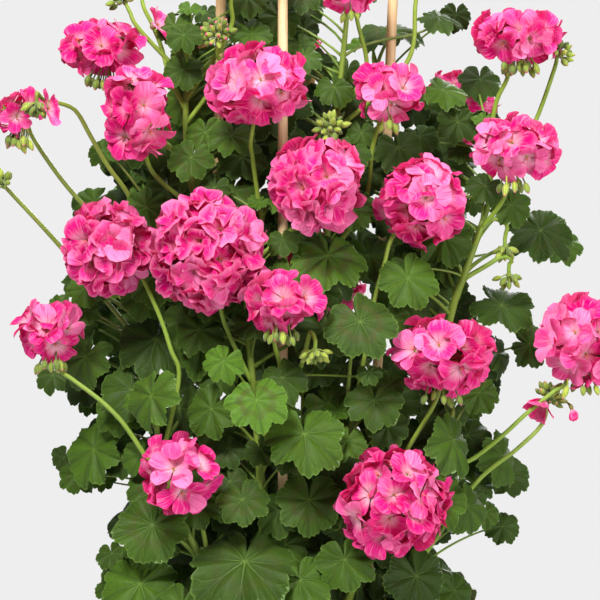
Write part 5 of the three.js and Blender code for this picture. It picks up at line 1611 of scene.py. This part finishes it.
BEFORE_CANE = ((-17, 606), (-17, 590), (-17, 574), (-17, 480), (-17, 455), (-17, 430), (-17, 395),
    (-17, 365), (-17, 330), (-17, 300), (99, 560), (92, 530), (88, 500), (84, 470), (80, 440), (-80, 700),
    (-82, 660), (-84, 620), (12, 700), (12, 600), (12, 560))
BEFORE_STEM = ((-114, 808), (-112, 750), (-113, 780), (187, 655), (205, 650), (-118, 830))
BEFORE_BACK = (
    (158, 742), (175, 765), (140, 752), (-20, 822), (-42, 802), (10, 816), (-4, 796), (-125, 690),
    (-120, 660), (-135, 676), (165, 722))
CLOSED_SPOTS = (
    (-36, 675), (-128, 540), (140, 441), (159, 439), (214, 376), (-224, 380), (205, 648), (262, 612),
    (112, 538), (102, 602), (-194, 474), (-184, 491), (160, 832), (-67, 542), (91, 484), (68, 478),
    (50, 782), (-212, 440), (-242, 471), (178, 462), (172, 432), (186, 338), (-191, 371), (173, 645),
    (-126, 711), (-77, 462), (-38, 395), (146, 290), (-183, 302), (-234, 391), (-94, 836), (-210, 431),
    (-176, 352))
CANE_DRAWS = (16, (62, 34), (0, 2))
STEM_DRAWS = (40, (56, 40), (-3, -0.5))
BACK_DRAWS = (40, (58, 36), (-0.5, 4))
CLOSED_DRAWS = (40, (52, 26), (-1, 5))

# Leaves drawn all over the front between left and right edges that change with the height, from the
# largest to the smallest, and rows of them round the back

FILL_COUNT = 1000
FILL_EDGES = (
    (230, -205, 165), (290, -192, 155), (315, -190, 160), (350, -188, 215), (400, -240, 228),
    (450, -238, 205), (500, -248, 245), (550, -238, 205), (610, -236, 200), (650, -236, 185),
    (700, -212, 190), (750, -135, 172), (790, -128, 118), (860, -100, 100))
FILL_SIZES = (112, 46)
FILL_LAYER = (0, 3.8)
FILL_BACK_ROWS = (
    (235, 9, 36), (300, 9, 38), (400, 8, 38), (505, 8, 38), (610, 7, 34), (720, 6, 30), (820, 4, 24))
FILL_BACK_SEED = 90210
FINE_LAYER = 0.6
COARSE_LAYER = 2


def packed_leaves():
    draw = make_draw(LEAF_SEED)
    leaves = [front_leaf(row, draw) for row in LEAVES]
    shade = make_draw(LEAF_SEED + 1)
    for leaf, row in zip(leaves, LEAVES):
        # A leaf further behind the bush's face is painted darker: painted shade of the bush's depth, on a
        # tone that also differs at random
        leaf.tone = clamp(0.48 - 0.14 * row[4] + shade(-0.14, 0.14), 0.08, 0.8)
        leaf.zone = max(0, shade(LEAST_ZONE, 0.9))
    for leaf, tone_and_zone in zip(leaves, PALE_LEAVES):
        leaf.tone, leaf.zone = tone_and_zone
    leaves.sort(key=lambda leaf: -leaf.full)
    draw = make_draw(BACK_SEED)
    for up, count, radius in BACK_ROWS:
        for place in range(count):
            leaf = back_leaf(up, count, radius, place, draw)
            leaf.tone, leaf.zone, leaf.detail = shade(0.2, 0.5), max(0, shade(LEAST_ZONE, 0.9)), 1
            leaves.append(leaf)
    corners = {stem: corners_of(stem) for stem in STEMS}
    return [leaf for leaf in leaves if settle_as_packed(leaf, corners)]


def room_left(heads, clusters, settled):
    """The room round the canes, stems, heads, bud clusters and packed leaves."""
    room = Room()
    for cane, (foot, top) in CANES.items():
        room.add_balls(samples(StraightPath(foot, top), CANE_BALL_STEP), CANE_KNOT_RADIUS, cane)
    for stem, path in stem_paths.items():
        room.add_balls(samples(path, STEM_BALL_STEP), STEM_BALL_RADIUS, stem)
    for name, head in heads.items():
        room.add_balls(head["middle"], max(head["wide"], head["tall"]) - HEAD_BALL_INSET, name)
        room.add_balls(samples(head["path"], BALL_STEP), FLOWER_STALK_RADIUS, head["stem"])
        if head["under"]:
            room.add_balls(head["middle"] - head["tall"] * UP, BUD_LENGTH, head["stem"])
    for cluster in clusters:
        room.add_balls(cluster["middle"], BUD_LENGTH, cluster["stem"])
        room.add_balls(samples(cluster["path"], BALL_STEP), FLOWER_STALK_RADIUS, cluster["stem"])
    for leaf in settled:
        room.add_leaf(leaf)
    return room


class Filling:
    """The leaves that only the scene has, each tried in the room that those before it leave."""

    def __init__(self, room):
        self.room, self.found = room, []

    def try_leaf(self, leaf, scales=SCALES, shifts=NEAR_SHIFTS):
        fits = settle_free(leaf, self.room, scales, shifts)
        if fits:
            self.room.add_leaf(leaf)
            self.found.append(leaf)
        return fits

    def try_listed(self, draw):
        for row in BIG_LEAVES:
            leaf = front_leaf(row, draw)
            leaf.tone, leaf.zone = draw(0.38, 0.62), max(0, draw(LEAST_ZONE, 0.8))
            self.try_leaf(leaf, BIG_SCALES, BIG_SHIFTS)
        for row in SMALL_LEAVES:
            leaf = front_leaf(row, draw)
            leaf.tone, leaf.zone = draw(0.3, 0.6), 0
            self.try_leaf(leaf)

    def try_spots(self, spots, draw, tries, widths, layers):
        for across, up in spots:
            for _ in range(tries):
                width = draw(*widths)
                row = (across + 0.4 * width * (draw() - 0.5), up + 0.4 * width * (draw() - 0.5), width,
                    width * draw(0.75, 0.95), draw(*layers), 60 * (draw() - 0.5))
                leaf = front_leaf(row, draw)
                leaf.tone, leaf.zone = draw(0.25, 0.55), 0.5 * draw()
                leaf.detail = detail_at(row[4], 0)
                if self.try_leaf(leaf, (1,), (0,)):
                    break

    def try_front(self, draw):
        heights, *sides = zip(*FILL_EDGES)
        for i in range(FILL_COUNT):
            up = draw(heights[0], heights[-1])
            width = lerp(*FILL_SIZES, (i / FILL_COUNT) ** 0.7) * draw(0.85, 1.1)
            left, right = (np.interp(up, heights, side) for side in sides)
            across = draw(left + 0.4 * width, right - 0.4 * width)
            layer = draw(*FILL_LAYER)
            row = (across, up, width, width * draw(0.7, 1), layer, 40 * (2 * draw() - 1) + 0.2 * across)
            leaf = front_leaf(row, draw)
            # A leaf further behind the bush's face is painted darker: painted shade of the bush's depth, on
            # a tone that also differs at random
            leaf.tone = clamp(0.5 - 0.11 * layer + draw(-0.12, 0.12), 0.05, 0.6)
            leaf.zone = 0.6 * draw()
            leaf.detail = detail_at(layer, FINE_LAYER)
            self.try_leaf(leaf, (1, 0.8), (0, 10))

    def try_back(self, draw):
        for up, count, radius in FILL_BACK_ROWS:
            for place in range(count):
                leaf = back_leaf(up, count, radius, place, draw)
                leaf.tone, leaf.zone, leaf.detail = draw(0.15, 0.5), 0.5 * draw(), 0
                self.try_leaf(leaf)


def detail_at(layer, fine_layer):
    return 2 if layer < fine_layer else 1 if layer < COARSE_LAYER else 0


def fill_leaves(room):
    filling = Filling(room)
    draw, back_draw = make_draw(EXTRA_SEED), make_draw(FILL_BACK_SEED)
    filling.try_listed(draw)
    filling.try_spots(BEFORE_STEM, draw, *STEM_DRAWS)
    filling.try_spots(BEFORE_CANE, draw, *CANE_DRAWS)
    filling.try_spots(BEFORE_BACK, draw, *BACK_DRAWS)
    filling.try_front(draw)
    filling.try_back(back_draw)
    filling.try_spots(CLOSED_SPOTS, back_draw, *CLOSED_DRAWS)
    return filling.found


heads = {name: lay_head(head) for name, head in HEADS.items()}
clusters = [lay_cluster(cluster) for cluster in BUD_CLUSTERS]
leaves = packed_leaves()
leaves.extend(fill_leaves(room_left(heads, clusters, leaves)))

stalk, blade, bud = stalk_material(), leaf_material(), bud_material()
petal, stamen, bamboo = petal_material(), stamen_material(), cane_material()

# Stems with all that grows on them. A stem swells at its knots, and its tip has young leaves: radius and
# distance from the tip

STEM_STEP = 9
STEM_KNOT_SPACING = 62
STEM_KNOT_SWELL = 0.35
STEM_KNOT_LENGTH = 6
STEM_INSET = 0.15
STEM_SIDES = 12
PLAIN_REDNESS = 0.15
TIP_LEAVES = ((15, 20), (12, 15), (10, 11), (7, 7))
TIP_CUP = 0.35
TIP_TONE = 0.7


def keep(piece, node):
    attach(piece, "root")
    if node:
        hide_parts(node)


def make_stem(stem, draw):
    form = Form(stalk, blade, bud)
    red = STEM_REDNESS.get(stem, PLAIN_REDNESS)
    add_stem(form, stem, red)
    for head in heads.values():
        if head["stem"] == stem:
            add_flower_stalk(form, head["path"], red, draw)
            if head["under"]:
                add_hanging_buds(form, head, draw)
    for cluster in clusters:
        if cluster["stem"] == stem:
            add_flower_stalk(form, cluster["path"], red, draw)
            add_buds(form, cluster, draw)
    add_tip(form, stem, red, draw)
    for leaf in leaves:
        if leaf.stem == stem:
            add_leaf(form, leaf, draw)
            add_leaf_stalk(form, leaf, red * draw())
    return form.finish(stem + "_grown")


def add_stem(form, stem, red):
    middles = samples(stem_paths[stem], STEM_STEP)
    root = middles[0].copy()
    root[2] = SOIL_LEVEL - ROOT_DEPTH
    beside = np.arange(len(middles)) * STEM_STEP % STEM_KNOT_SPACING - STEM_KNOT_SPACING // 2
    swell = STEM_KNOT_SWELL * np.exp(-(beside / STEM_KNOT_LENGTH) ** 2)
    radii = np.linspace(STEM_BASE_RADIUS, STEM_TIP_RADIUS, len(middles)) - STEM_INSET + swell
    radii[-1] = 1
    middles, radii = np.concatenate((root[None], middles)), np.append(STEM_BASE_RADIUS, radii)
    add_tube(form, middles, radii, STEM_SIDES, (0.45, red, 0))


def add_tip(form, stem, red, draw):
    """Young leaves, still cupped, round the growing tip of a stem."""
    path = stem_paths[stem]
    tip, along = path.at(1), unit(path.at(1) - path.at(0.96))
    side, other = across_plane(along)
    turn = 6.3 * draw()
    for i, (radius, reach) in enumerate(TIP_LEAVES):
        out = unit(around(turn + 2.4 * i, side, other) + (0.35 + 0.4 * i) * along)
        normal = unit(0.6 * along + 0.5 * out + 0.3 * (draw() - 0.5) * side - vector(0, 0.5, 0))
        leaf = Leaf(tip + reach * out, normal, out - 0.3 * UP, radius, TIP_CUP, 0, out, TIP_TONE, 0, 1)
        rise = tip + 0.3 * reach * along
        leaf.path = BentPath(tip - 2 * along, rise, lerp(tip, leaf.hub, 0.7), leaf.hub - normal)
        add_leaf(form, leaf, draw)
        add_leaf_stalk(form, leaf, red * draw())


def add_flower_stalk(form, path, red, draw):
    middles = samples(path, 7)
    radii = FLOWER_STALK_RADIUS * np.linspace(1, FLOWER_STALK_FLARE, len(middles))
    add_tube(form, middles, radii, 8, (draw(0.5, 0.75), red * draw(), 0))


for number, stem in enumerate(STEMS):
    keep(make_stem(stem, make_draw(STEM_SEED + number)), stem)

for number, (name, head) in enumerate(heads.items()):
    petals, greens = Form(petal, stamen), Form(stalk)
    add_head(petals, greens, head, make_draw(HEAD_SEED + number))
    keep(petals.finish(name + "_petals"), name)
    keep(greens.finish(name + "_sepals"), None)

for number, (name, floret) in enumerate(SIDE_FLORETS.items()):
    form = Form(petal, stamen, stalk)
    add_side_floret(form, floret, make_draw(FLORET_SEED + number))
    keep(form.finish(name), None)

for cane, tone in CANE_TONES.items():
    form = Form(bamboo)
    add_cane(form, cane, tone)
    keep(form.finish(cane + "_bamboo"), cane)

keep(make_pot(terracotta_material()), "pot")
keep(make_soil(soil_material(), make_draw(SOIL_SEED)), "soil")

# Floor, light and camera. Lamps stand in metres: name, place, what they aim at, size and power

FLOOR_PROFILE = ((1850, -4), (1850, -0.4), (1400, 0), (300, 0))
LAMPS = (
    ("key", (-0.9, -2.4, 2.9), (0, 0, 0.55), 1.1, 178),
    ("fill", (2.2, -2.8, 1.2), (0, 0, 0.55), 2.2, 98),
    ("top", (0.3, 0.2, 3.0), (0, 0, 0.6), 1.4, 40),
    ("back", (0.9, 2.9, 1.9), (0, 0, 0.55), 2.0, 110),
)
BACKDROP = srgb(238, 238, 238)
SKY_LIGHT = (0.13, 0.13, 0.13, 1)
SENSOR_WIDTH = 36
CLIP_END = 50

scene = bpy.context.scene


def add_lamp(name, place, aim, size, watts):
    light = bpy.data.lights.new(name, "AREA")
    light.shape, light.size, light.energy = "DISK", size, watts
    lamp = bpy.data.objects.new(name, light)
    lamp.location = place
    across, ahead, rise = vector(*aim) - vector(*place)
    tilt = math.atan2(rise, math.hypot(across, ahead))
    lamp.rotation_euler = (math.pi / 2 + tilt, 0, math.atan2(ahead, across) - math.pi / 2)
    scene.collection.objects.link(lamp)


def make_sky():
    """A pale backdrop for the camera, and a darker sky that the plant is lit by."""
    world = bpy.data.worlds.new("studio")
    world.use_nodes = True
    nodes, links = world.node_tree.nodes, world.node_tree.links
    nodes.clear()
    choice = nodes.new("ShaderNodeMixShader")
    links.new(nodes.new("ShaderNodeLightPath").outputs["Is Camera Ray"], choice.inputs[0])
    for socket, color in ((1, SKY_LIGHT), (2, BACKDROP)):
        background = nodes.new("ShaderNodeBackground")
        background.inputs[0].default_value = color
        links.new(background.outputs[0], choice.inputs[socket])
    links.new(choice.outputs[0], nodes.new("ShaderNodeOutputWorld").inputs[0])
    return world


floor = Form(floor_material(), bounded=False)
turned(floor, FLOOR_PROFILE)
floor.finish("floor")

for lamp in LAMPS:
    add_lamp(*lamp)

scene.world = make_sky()
scene.view_settings.view_transform = "Standard"
lens = bpy.data.cameras.new("view")
lens.lens, lens.sensor_width = SENSOR_WIDTH * VIEW_DISTANCE / VIEW_WIDTH, SENSOR_WIDTH
lens.clip_end = CLIP_END
camera = bpy.data.objects.new("view", lens)
camera.location = vector(
    0, -VIEW_DISTANCE * math.cos(VIEW_RISE), VIEW_AIM + VIEW_DISTANCE * math.sin(VIEW_RISE)) * MM
camera.rotation_euler = (math.pi / 2 - VIEW_RISE, 0, 0)
scene.collection.objects.link(camera)
scene.camera = camera

bpy.context.view_layer.update()
